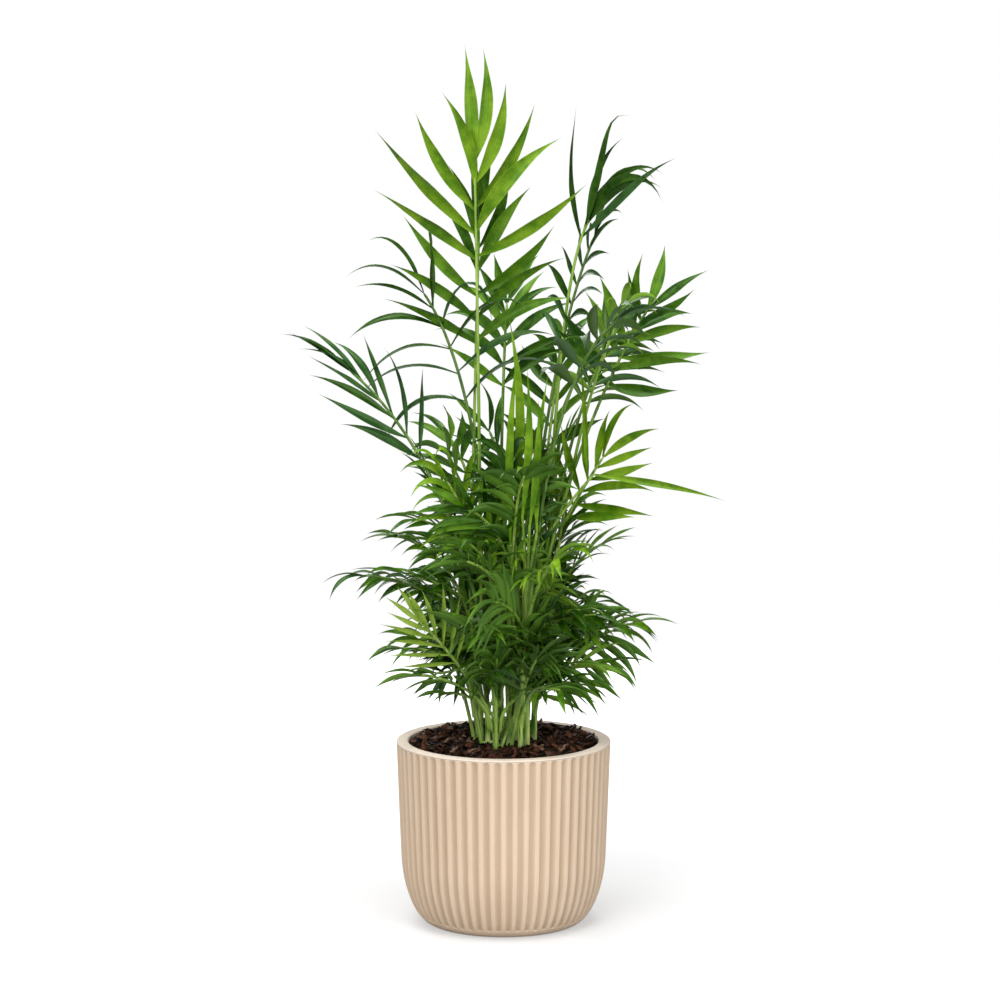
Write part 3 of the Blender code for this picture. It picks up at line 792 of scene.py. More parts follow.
@dataclass(frozen=True)
class BladeShape:
    """The body of a leaflet: a thin folded blade, closed all round."""

    stations: int = 15
    thickness: float = 0.34
    fold: float = 0.34
    root_half: float = 0.75
    root_power: int = 4
    widest_power: float = 0.8
    tip_power: float = 0.7
    last_station: float = 0.965
    ripple: float = 0.05
    ripples: float = 3.0
    across: tuple[float, ...] = (-1.0, -0.52, 0.0, 0.52, 1.0)

    def half_width(self, share: float, widest: float) -> float:
        """Gives the blade's half width at a share of its length, from that where it is widest."""
        swell = max(0.0, math.sin(math.pi * share**self.widest_power)) ** (1.0 + self.tip_power * share)
        return max(widest * swell, self.root_half * (1.0 - share) ** self.root_power)

    def section(self, leaf: Leaflet, share: float, phase: float) -> list[Vector]:
        """Gives the eight corners of the blade's section at a share of its length.

        Args:
            leaf: The leaflet.
            share: The place along it.
            phase: Where its ripple starts.

        Returns:
            The corners: five over the upper side, then three back below.
        """
        place = share * (len(leaf.points) - 1)
        index = min(int(place), len(leaf.points) - 2)
        centre = leaf.points[index].lerp(leaf.points[index + 1], place - index)
        heading = (leaf.points[index + 1] - leaf.points[max(index - 1, 0)]).normalized()
        upper = square_to(leaf.normals[index].lerp(leaf.normals[index + 1], place - index), heading)
        aside = heading.cross(upper)
        half = self.half_width(share, leaf.half_width)
        wave = math.sin(math.tau * self.ripples * share + phase) * self.ripple
        top = []
        for part in self.across:
            raised = half * (self.fold * abs(part) + wave * part)
            top.append(centre + aside * half * part + upper * raised)
        deep = upper * self.thickness * min(1.0, half)
        return top + [point - deep for point in reversed(top[1:-1])]

    def blade(self, leaf: Leaflet, phase: float) -> tuple[list[Vector], Faces, Maps]:
        """Makes one blade.

        Args:
            leaf: The leaflet.
            phase: Where its ripple starts.

        Returns:
            Its points, its faces and a (across, along) pair for each face's corners.
        """
        count = 2 * len(self.across) - 2
        places = [self.last_station * station / (self.stations - 1) for station in range(self.stations)]
        turns = [side / (count // 2) for side in range(count + 1)]
        sides = list(zip(turns, turns[1:]))
        points: list[Vector] = []
        faces: Faces = []
        maps: Maps = []
        for place in places:
            points += self.section(leaf, place, phase)
        points.append(leaf.points[-1])
        for index, (low, high) in enumerate(zip(places, places[1:])):
            faces += ring_faces(index * count, (index + 1) * count, count)
            maps += [((left, low), (right, low), (right, high), (left, high)) for left, right in sides]
        last, tip, end = (self.stations - 1) * count, len(points) - 1, self.last_station
        faces += [(last + side, last + after, tip) for side, after in neighbours(count)]
        maps += [((left, end), (right, end), ((left + right) / 2.0, 1.0)) for left, right in sides]
        for side in range(len(self.across) - 1):
            corners = (side, (count - side) % count, count - side - 1, side + 1)
            faces.append(tuple(dict.fromkeys(corners)))
            maps.append(((0.5, 0.0),) * len(faces[-1]))
        return points, faces, maps


@dataclass(frozen=True)
class Wiring:
    """A short way to wire a tree: it adds nodes, and sets or links their inputs."""

    tree: bpy.types.NodeTree

    def feed(self, socket: Socket, value: Feed) -> None:
        """Links a socket to another, or sets its value.

        Args:
            socket: The input.
            value: A socket to link from, or a plain value.
        """
        if isinstance(value, bpy.types.NodeSocket):
            self.tree.links.new(value, socket)
        elif socket.type == "RGBA" and len(value) == 3:
            socket.default_value = (*value, 1.0)
        else:
            socket.default_value = value

    def node(self, kind: str, inputs: Feeds | None = None, **settings: Feed) -> bpy.types.Node:
        """Adds a node.

        Args:
            kind: Its type.
            inputs: What its inputs get, by name or number.
            settings: Its own settings.

        Returns:
            The node.
        """
        made = self.tree.nodes.new(kind)
        for name, value in settings.items():
            setattr(made, name, value)
        for key, value in (inputs or {}).items():
            self.feed(made.inputs[key], value)
        return made

    def math(self, operation: str, *values: Feed, clamp: bool = False) -> Socket:
        """Adds a Math node and gives its output."""
        made = self.node("ShaderNodeMath", dict(enumerate(values)), operation=operation, use_clamp=clamp)
        return made.outputs[0]

    def times(self, first: Feed, second: Feed) -> Socket:
        """Multiplies two numbers."""
        return self.math("MULTIPLY", first, second)

    def plus(self, first: Feed, second: Feed) -> Socket:
        """Adds two numbers."""
        return self.math("ADD", first, second)

    def minus(self, first: Feed, second: Feed, clamp: bool = False) -> Socket:
        """Takes a number from another, and may hold the result between 0 and 1."""
        return self.math("SUBTRACT", first, second, clamp=clamp)

    def vector(self, operation: str, *values: Feed) -> Socket:
        """Adds a Vector Math node and gives its vector output."""
        return self.node("ShaderNodeVectorMath", dict(enumerate(values)), operation=operation).outputs[0]

    def scaled(self, vector: Feed, scale: Feed) -> Socket:
        """Multiplies a vector by a number."""
        return self.node("ShaderNodeVectorMath", {0: vector, "Scale": scale}, operation="SCALE").outputs[0]

    def noise(self, vector: Feed, scale: Feed, detail: Feed) -> Outputs:
        """Adds soft noise and gives its outputs: a number, then a colour."""
        return self.node("ShaderNodeTexNoise", {"Vector": vector, "Scale": scale, "Detail": detail}).outputs

    def remap(self, value: Feed, low: float, high: float, start: float = 0.0, end: float = 1.0) -> Socket:
        """Maps the values from low to high onto start to end, smoothly and held at both ends."""
        inputs = {"Value": value, 1: low, 2: high, 3: start, 4: end}
        return self.node("ShaderNodeMapRange", inputs, interpolation_type="SMOOTHSTEP").outputs["Result"]

    def blend(self, share: Feed, first: Feed, second: Feed, way: str = "MIX") -> Socket:
        """Mixes two colours and gives the result."""
        inputs = {0: share, 6: first, 7: second}
        return self.node("ShaderNodeMix", inputs, data_type="RGBA", blend_type=way).outputs[2]

    def cover(self, ground: Feed, colour: Feed, mask: Feed, share: float) -> Socket:
        """Lays a colour over another by a share of a mask."""
        return self.blend(self.times(mask, share), ground, colour)

    def shade(self, ground: Feed, shade: Colour, mask: Feed, share: float) -> Socket:
        """Darkens a colour towards its product with a shade, by a share of a mask."""
        return self.cover(ground, self.blend(1.0, ground, shade, "MULTIPLY"), mask, share)

    def separate(self, vector: Feed) -> Outputs:
        """Splits a vector and gives its three outputs."""
        return self.node("ShaderNodeSeparateXYZ", {0: vector}).outputs

    def combine(self, x: Feed, y: Feed, z: Feed) -> Socket:
        """Joins three numbers into a vector."""
        return self.node("ShaderNodeCombineXYZ", {0: x, 1: y, 2: z}).outputs[0]


SOCKET_KINDS = {float: "NodeSocketFloat", int: "NodeSocketInt", Vector: "NodeSocketVector"}


class Group:
    """A node tree with named inputs and outputs."""

    kind = "ShaderNodeTree"
    output = "NodeSocketFloat"
    first: dict[str, str] = {}
    last: dict[str, str] = {}

    def __init__(self, name: str, inputs: dict[str, Named], outputs: Sequence[str] = ("Geometry",)) -> None:
        """Makes the tree with its inputs and outputs.

        Args:
            name: Its name.
            inputs: The value of each input by its name.
            outputs: The names of its outputs.
        """
        self.tree = bpy.data.node_groups.new(name, self.kind)
        for label, value in (self.first | inputs | self.last).items():
            kind = SOCKET_KINDS.get(type(value), value)
            socket = self.tree.interface.new_socket(label, in_out="INPUT", socket_type=kind)
            if kind is not value:
                socket.default_value = value
        for label in outputs:
            self.tree.interface.new_socket(label, in_out="OUTPUT", socket_type=self.output)
        self.wires = Wiring(self.tree)
        self.given = self.wires.node("NodeGroupInput").outputs
        self.sink = self.wires.node("NodeGroupOutput").inputs


class Effect(Group):
    """A shader group that several finishes share."""

    def put(self, wires: Wiring, inputs: Feeds) -> Outputs:
        """Places the group in a material and gives its outputs."""
        return wires.node("ShaderNodeGroup", inputs, node_tree=self.tree).outputs


@dataclass
class Effects:
    """The effects that the finishes share, each built once: soft clouds, leaf veins and a fine grain."""

    cloud_tighter: float = 4.3
    cloud_details: Range = (3.0, 2.0)
    cloud_shares: Range = (0.7, 0.3)
    cloud_band: Range = (0.34, 0.66)
    streaks: Range = (24.0, 1.6)
    streak_noise: Range = (2.2, 2.0)
    grain_detail: float = 4.0
    grain_band: Range = (0.42, 0.62)
    mottle: Effect = field(init=False)
    veins: Effect = field(init=False)
    grain: Effect = field(init=False)

    def __post_init__(self) -> None:
        """Builds the groups."""
        self.build_mottle()
        self.build_veins()
        self.build_grain()

    def build_mottle(self) -> None:
        """Builds soft clouds in two sizes, for uneven colour and gloss."""
        wide_detail, tight_detail = self.cloud_details
        made = Effect("soft_mottle", {"Vector": Vector(), "Scale": 40.0, "Detail": wide_detail}, ("Mask",))
        wires, given = made.wires, made.given
        wide = wires.noise(given["Vector"], given["Scale"], given["Detail"])[0]
        tight = wires.noise(given["Vector"], wires.times(given["Scale"], self.cloud_tighter), tight_detail)[0]
        wide_share, tight_share = self.cloud_shares
        both = wires.plus(wires.times(wide, wide_share), wires.times(tight, tight_share))
        wires.feed(made.sink["Mask"], wires.remap(both, *self.cloud_band))
        self.mottle = made

    def build_veins(self) -> None:
        """Builds the parallel veins of a palm leaf, from its own map across and along."""
        made = Effect("parallel_veins", {"Across": 0.0, "Along": 0.0, "Count": 9.0}, ("Line", "Relief"))
        wires, given = made.wires, made.given
        turns = wires.times(given["Across"], wires.times(given["Count"], math.tau))
        ridge = wires.math("MULTIPLY_ADD", wires.math("COSINE", turns), 0.5, 0.5)
        stretch = zip(("Across", "Along"), self.streaks)
        across, along = (wires.times(given[name], scale) for name, scale in stretch)
        streak = wires.noise(wires.combine(across, along, 0.0), *self.streak_noise)[0]
        wires.feed(made.sink["Line"], wires.times(ridge, streak))
        wires.feed(made.sink["Relief"], wires.plus(ridge, streak))
        self.veins = made

    def build_grain(self) -> None:
        """Builds a fine grain, stretched by its own vector, for pores and fibres."""
        made = Effect("fine_grain", {"Vector": Vector(), "Scale": 900.0}, ("Mask", "Relief"))
        noise = made.wires.noise(made.given["Vector"], made.given["Scale"], self.grain_detail)[0]
        made.wires.feed(made.sink["Mask"], made.wires.remap(noise, *self.grain_band))
        made.wires.feed(made.sink["Relief"], noise)
        self.grain = made

    def clouds(self, wires: Wiring, vector: Socket, scale: float) -> Socket:
        """Places soft clouds in a material and gives their mask."""
        return self.mottle.put(wires, {"Vector": vector, "Scale": scale})["Mask"]

    def fibres(self, wires: Wiring, vector: Socket, scale: float) -> Outputs:
        """Places fibres or pores in a material and gives their mask and relief."""
        return self.grain.put(wires, {"Vector": vector, "Scale": scale})


class Surface:
    """A new material with its shader and wiring."""

    def __init__(self, name: str, roughness: float, specular: float) -> None:
        """Makes a plain material.

        Args:
            name: Its name.
            roughness: Its roughness where nothing is linked to that.
            specular: Its specular level.
        """
        self.material = bpy.data.materials.new(name)
        self.material.use_nodes = True
        self.wires = Wiring(self.material.node_tree)
        self.shader = self.material.node_tree.nodes["Principled BSDF"]
        self.shader.inputs["Roughness"].default_value = roughness
        self.shader.inputs["Specular IOR Level"].default_value = specular

    def place(self) -> Socket:
        """Gives the Object coordinates."""
        return self.wires.node("ShaderNodeTexCoord").outputs["Object"]

    def stretched(self, scale: Triple) -> Socket:
        """Gives the Object coordinates scaled on each axis."""
        return self.wires.node("ShaderNodeMapping", {"Vector": self.place(), "Scale": scale}).outputs[0]

    def paint(self, colour: Socket, roughness: Socket) -> None:
        """Links a colour and a roughness to the shader."""
        self.wires.feed(self.shader.inputs["Base Color"], colour)
        self.wires.feed(self.shader.inputs["Roughness"], roughness)

    def bump(self, height: Socket, strength: float, depth: float) -> None:
        """Links relief to the shader's normal, with a strength and a depth in metres."""
        inputs = {"Strength": strength, "Distance": depth, "Height": height}
        self.wires.feed(self.shader.inputs["Normal"], self.wires.node("ShaderNodeBump", inputs).outputs[0])


@dataclass(frozen=True)
class LeafFinish:
    """A satin palm leaf: parallel veins, soft clouds of colour, painted highlights along its edges and a
    paler underside.
    """

    tint: Tint
    slot: str
    gloss: Range
    colour: Colour
    light: Colour
    under: Colour
    specular: float = 0.42
    glint: Colour = (0.62, 1.0, 0.42)
    cloud_scale: float = 42.0
    cloud_share: float = 0.9
    veins: float = 6.0
    vein_shade: Colour = (0.45, 0.55, 0.4)
    vein_share: float = 0.9
    # A painted highlight along the blade's edges: its band across the blade and how far it lightens.
    edge_highlight: Range = (0.44, 0.5)
    edge_highlight_share: float = 0.35
    under_share: float = 0.7
    relief: Range = (0.1, 0.00006)

    def material(self, effects: Effects) -> Look:
        """Builds the material.

        Args:
            effects: The shared effects.

        Returns:
            The material.
        """
        made = Surface(f"leaf_{self.tint.value}", self.gloss[0], self.specular)
        made.shader.inputs["Specular Tint"].default_value = (*self.glint, 1.0)
        wires = made.wires
        across, along, _ = wires.separate(wires.node("ShaderNodeUVMap", uv_map=BLADE_MAP).outputs[0])
        clouds = effects.clouds(wires, made.place(), self.cloud_scale)
        veins = effects.veins.put(wires, {"Across": across, "Along": along, "Count": self.veins})
        toned = wires.cover(self.colour, self.light, clouds, self.cloud_share)
        lined = wires.shade(toned, self.vein_shade, veins["Line"], self.vein_share)
        from_fold = wires.math("ABSOLUTE", wires.minus(wires.math("FRACT", across), 0.5))
        # Painted highlight: the colour lightens towards the light tone at the blade's edges.
        edge_highlighted = wires.blend(wires.remap(from_fold, *self.edge_highlight, 0.0, self.edge_highlight_share), lined, self.light)
        below = wires.math("GREATER_THAN", across, 1.0)
        rough = wires.remap(clouds, 0.0, 1.0, *self.gloss)
        made.paint(wires.cover(edge_highlighted, self.under, below, self.under_share), rough)
        made.bump(veins["Relief"], *self.relief)
        return made.material


@dataclass(frozen=True)
class StalkFinish:
    """A living stalk: streaks along the grain, clouds of colour and a paler foot."""

    name: str
    colour: Colour
    light: Colour
    foot: Colour
    foot_band: Range
    gloss: Range = (0.36, 0.55)
    specular: float = 0.4
    fibre_stretch: Triple = (1.0, 1.0, 0.045)
    fibre_scale: float = 950.0
    fibre_shade: Colour = (0.4, 0.5, 0.3)
    fibre_share: float = 0.5
    cloud_stretch: Triple = (1.0, 1.0, 0.07)
    cloud_scale: float = 210.0
    cloud_band: Range = (0.25, 0.75)
    foot_cover: Range = (0.55, 1.0)
    relief: Range = (0.4, 0.00018)

    def material(self, effects: Effects) -> Look:
        """Builds the material.

        Args:
            effects: The shared effects.

        Returns:
            The material.
        """
        made = Surface(self.name, self.gloss[0], self.specular)
        wires = made.wires
        fibres = effects.fibres(wires, made.stretched(self.fibre_stretch), self.fibre_scale)
        clouds = effects.clouds(wires, made.stretched(self.cloud_stretch), self.cloud_scale)
        toned = wires.blend(wires.remap(clouds, *self.cloud_band), self.colour, self.light)
        lined = wires.shade(toned, self.fibre_shade, fibres["Mask"], self.fibre_share)
        low = wires.remap(wires.separate(made.place())[2], *self.foot_band, 1.0, 0.0)
        uneven = wires.times(low, wires.remap(clouds, 0.0, 1.0, *self.foot_cover))
        rough = wires.remap(fibres["Mask"], 0.0, 1.0, *self.gloss)
        made.paint(wires.blend(uneven, lined, self.foot), rough)
        made.bump(fibres["Relief"], *self.relief)
        return made.material


@dataclass(frozen=True)
class CeramicFinish:
    """Matt stoneware: faint throwing clouds, fine pores, painted highlights on the flute crests and the lip,
    and painted shade in the flute valleys.
    """

    colour: Colour = (0.68, 0.518, 0.37)
    # A dark tone for the drift and the pores, and the colour of the painted shade in the flute valleys.
    valley_shade_and_dark_tone: Colour = (0.418, 0.295, 0.192)
    # A light tone for the clouds, and the colour of the painted highlight on the flute crests.
    crest_highlight_and_light_tone: Colour = (0.768, 0.618, 0.478)
    # The colour of the painted light on the top of the lip, with its band of heights and strength.
    lip: Colour = (0.74, 0.64, 0.54)
    lip_light_band: Range = (0.1262, 0.1282)
    lip_light_share: float = 0.8
    groove: str = "groove"
    valley_shade_share: float = 0.62
    crest_highlight_depth: float = 0.12
    crest_highlight_share: float = 0.38
    plain_gloss: float = 0.72
    gloss: Range = (0.66, 0.8)
    specular: float = 0.35
    cloud_scale: float = 22.0
    cloud_share: float = 0.35
    drift_stretch: Triple = (1.0, 1.0, 0.12)
    drift_scale: float = 60.0
    drift_share: float = 0.22
    pore_scale: float = 1500.0
    pore_share: float = 0.1
    cloud_relief: float = 1.4
    relief: Range = (0.25, 0.00012)

    def material(self, effects: Effects) -> Look:
        """Builds the material.

        Args:
            effects: The shared effects.

        Returns:
            The material.
        """
        made = Surface("stoneware_beige", self.plain_gloss, self.specular)
        wires = made.wires
        depth = wires.node("ShaderNodeAttribute", attribute_name=self.groove).outputs["Fac"]
        clouds = effects.clouds(wires, made.place(), self.cloud_scale)
        drift = effects.clouds(wires, made.stretched(self.drift_stretch), self.drift_scale)
        pores = effects.fibres(wires, made.place(), self.pore_scale)
        toned = wires.cover(self.colour, self.crest_highlight_and_light_tone, clouds, self.cloud_share)
        toned = wires.cover(toned, self.valley_shade_and_dark_tone, drift, self.drift_share)
        # Painted shade: the colour darkens towards the dark tone where the flutes are deepest.
        toned = wires.cover(toned, self.valley_shade_and_dark_tone, depth, self.valley_shade_share)
        # Painted highlight: the crests turn paler where the flutes are shallowest.
        crest_highlight = wires.remap(depth, 0.0, self.crest_highlight_depth, self.crest_highlight_share, 0.0)
        toned = wires.blend(crest_highlight, toned, self.crest_highlight_and_light_tone)
        # Painted light: a band at the top of the lip turns paler and whiter, as if lit from above.
        rim_top_light = wires.remap(wires.separate(made.place())[2], *self.lip_light_band)
        toned = wires.cover(toned, self.lip, rim_top_light, self.lip_light_share)
        toned = wires.cover(toned, self.valley_shade_and_dark_tone, pores["Mask"], self.pore_share)
        made.paint(toned, wires.remap(clouds, 0.0, 1.0, *self.gloss))
        relief = wires.plus(pores["Relief"], wires.times(clouds, self.cloud_relief))
        made.bump(relief, *self.relief)
        return made.material


@dataclass(frozen=True)
class BarkFinish:
    """Moist bark or coir: fibres, clouds of colour and a dull, patchy gloss."""

    name: str
    colour: Colour
    light: Colour
    gloss: Range = (0.5, 0.85)
    plain_gloss: float = 0.8
    specular: float = 0.12
    fibre_stretch: Triple = (1.0, 0.35, 0.6)
    fibre_scale: float = 1100.0
    fibre_shade: Colour = (0.45, 0.42, 0.4)
    fibre_share: float = 0.6
    cloud_scale: float = 190.0
    cloud_share: float = 0.8
    relief: Range = (0.8, 0.0005)

    def material(self, effects: Effects) -> Look:
        """Builds the material.

        Args:
            effects: The shared effects.

        Returns:
            The material.
        """
        made = Surface(self.name, self.plain_gloss, self.specular)
        wires = made.wires
        fibres = effects.fibres(wires, made.stretched(self.fibre_stretch), self.fibre_scale)
        clouds = effects.clouds(wires, made.place(), self.cloud_scale)
        toned = wires.cover(self.colour, self.light, clouds, self.cloud_share)
        lined = wires.shade(toned, self.fibre_shade, fibres["Mask"], self.fibre_share)
        made.paint(lined, wires.remap(clouds, 0.0, 1.0, *self.gloss))
        made.bump(fibres["Relief"], *self.relief)
        return made.material


LEAF_FINISHES = {
    finish.tint: finish
    for finish in (
        LeafFinish(
            Tint.PALE, "frond_young", (0.38, 0.52),
            colour=(0.21, 0.34, 0.03), light=(0.37, 0.52, 0.085), under=(0.3, 0.43, 0.08),
        ),
        LeafFinish(
            Tint.YOUNG, "frond_young", (0.36, 0.5),
            colour=(0.06, 0.165, 0.002), light=(0.225, 0.385, 0.016), under=(0.15, 0.28, 0.03),
        ),
        LeafFinish(
            Tint.FRESH, "frond_green", (0.36, 0.5),
            colour=(0.036, 0.112, 0.002), light=(0.125, 0.26, 0.01), under=(0.09, 0.2, 0.025),
        ),
        LeafFinish(
            Tint.MIDDLE, "frond_green", (0.29, 0.43),
            colour=(0.006, 0.037, 0.0006), light=(0.058, 0.158, 0.004), under=(0.065, 0.15, 0.018),
        ),
        LeafFinish(
            Tint.DEEP, "frond_deep", (0.27, 0.39),
            colour=(0.004, 0.024, 0.0006), light=(0.032, 0.092, 0.005), under=(0.055, 0.11, 0.022),
        ),
        # Painted sheen: a deep green with a grey-blue cast that stands in for light glancing off the leaves.
        LeafFinish(
            Tint.BLUISH, "frond_deep", (0.34, 0.46),
            colour=(0.012, 0.05, 0.009), light=(0.042, 0.104, 0.026), under=(0.048, 0.108, 0.034),
        ),
    )
}

STRAYS = {Tint.FRESH: Tint.MIDDLE, Tint.MIDDLE: Tint.FRESH, Tint.DEEP: Tint.BLUISH, Tint.BLUISH: Tint.DEEP}

FROND_TINTS = {
    name: tint
    for tint, names in {
        Tint.PALE: ("frond_pale_fan",),
        Tint.YOUNG: ("frond_top", "frond_light_right", "frond_long_right"),
        Tint.FRESH: (
            "frond_top_behind", "frond_broad_right", "frond_mid_right", "frond_upper_2", "frond_middle_3",
        ),
        Tint.DEEP: ("frond_high_right", "frond_high_left", "frond_low_far_left", "frond_low_far_right"),
        Tint.BLUISH: ("frond_far_left", "frond_grey_right", "frond_dark_right"),
    }.items()
    for name in names
}

FILLING_TINTS = (Tint.MIDDLE, Tint.FRESH, Tint.DEEP, Tint.MIDDLE, Tint.YOUNG, Tint.DEEP, Tint.MIDDLE)

LIGHT_RIBS = "frond_young"

BRIGHT_RIBS = ("frond_front", "frond_mid_front", "frond_high_right", "frond_top_behind", "frond_upper_2")

RIB_FINISHES = {
    LIGHT_RIBS: StalkFinish(
        "rib_light", (0.18, 0.33, 0.03), (0.32, 0.48, 0.09), (0.36, 0.52, 0.12), (0.14, 0.24)
    ),
    "frond_green": StalkFinish(
        "rib_green", (0.085, 0.19, 0.01), (0.2, 0.34, 0.04), (0.3, 0.46, 0.09), (0.13, 0.22)
    ),
    "frond_deep": StalkFinish(
        "rib_deep", (0.055, 0.135, 0.012), (0.125, 0.235, 0.036), (0.26, 0.41, 0.08), (0.13, 0.26)
    ),
}

STEM_FINISH = StalkFinish(
    "stem_skin", (0.056, 0.165, 0.007), (0.56, 0.76, 0.18), (0.56, 0.66, 0.26), (0.121, 0.138)
)

COIR_FINISH = BarkFinish("coir_dark", (0.007, 0.003, 0.002), (0.024, 0.011, 0.006), (0.8, 0.95))


@dataclass(frozen=True)
class Strewing:
    """How the chips of one tone are strewn: how many to a square metre, tilted and lifted."""

    finish: BarkFinish
    density: float
    seed: int
    tilt: float
    lift: float


STREWINGS = (
    Strewing(
        BarkFinish("bark_black", (0.0035, 0.0013, 0.0004), (0.0191, 0.0078, 0.0035)), 56000.0, 3, 0.6, 2.2
    ),
    Strewing(
        BarkFinish("bark_brown", (0.0157, 0.0061, 0.0017), (0.087, 0.0383, 0.02)), 34000.0, 5, 0.75, 2.8
    ),
    Strewing(BarkFinish("bark_red", (0.0783, 0.0261, 0.013), (0.1653, 0.0679, 0.0365)), 9000.0, 8, 0.8, 3.2),
    Strewing(BarkFinish("bark_tan", (0.1653, 0.087, 0.0487), (0.2958, 0.1827, 0.1131)), 2600.0, 12, 0.8, 3.4),
)


class GrowTree(Group):
    """A Geometry Nodes tree, which ends in realised, dressed faces."""

    kind = "GeometryNodeTree"
    output = "NodeSocketGeometry"
    first = {"Geometry": output}
    last = {"Material": "NodeSocketMaterial"}

    def position(self) -> Socket:
        """Gives the place of each point."""
        return self.wires.node("GeometryNodeInputPosition").outputs[0]

    def moved(self, geometry: Socket, offset: Socket) -> Socket:
        """Moves each point of a geometry by its offset."""
        return self.wires.node("GeometryNodeSetPosition", {"Geometry": geometry, "Offset": offset}).outputs[0]

    def marked(self, geometry: Socket, name: str, value: Socket) -> Socket:
        """Keeps a number at each point of a geometry, under a name."""
        inputs = {"Geometry": geometry, "Name": name, "Value": value}
        return self.wires.node("GeometryNodeStoreNamedAttribute", inputs, data_type="FLOAT").outputs[0]

    def read(self, name: str) -> Socket:
        """Gives the number that is kept at each point under a name."""
        inputs = {"Name": name}
        return self.wires.node("GeometryNodeInputNamedAttribute", inputs, data_type="FLOAT").outputs[0]

    def end(self, geometry: Socket) -> None:
        """Ends the tree: realises its instances and gives them the material.

        Args:
            geometry: What the tree has grown.
        """
        real = self.wires.node("GeometryNodeRealizeInstances", {"Geometry": geometry})
        inputs = {"Geometry": real.outputs[0], "Material": self.given["Material"]}
        self.wires.feed(self.sink[0], self.wires.node("GeometryNodeSetMaterial", inputs).outputs[0])

    def apply(self, source: Piece, name: str, values: dict[str, Feed]) -> Piece:
        """Runs the tree on an object and keeps the result as a plain mesh.

        Args:
            source: The object, which is removed.
            name: The name of the result.
            values: What the inputs get, by their names.

        Returns:
            The result, linked to the scene.
        """
        modifier = source.modifiers.new("grow", "NODES")
        modifier.node_group = self.tree
        for item in self.tree.interface.items_tree:
            if item.item_type == "SOCKET" and item.in_out == "INPUT" and item.name in values:
                modifier[item.identifier] = values[item.name]
        graph = bpy.context.evaluated_depsgraph_get()
        mesh = bpy.data.meshes.new_from_object(source.evaluated_get(graph))
        mesh.name = name
        old = source.data
        bpy.data.objects.remove(source)
        (bpy.data.curves if isinstance(old, bpy.types.Curve) else bpy.data.meshes).remove(old)
        return add_object(name, mesh)


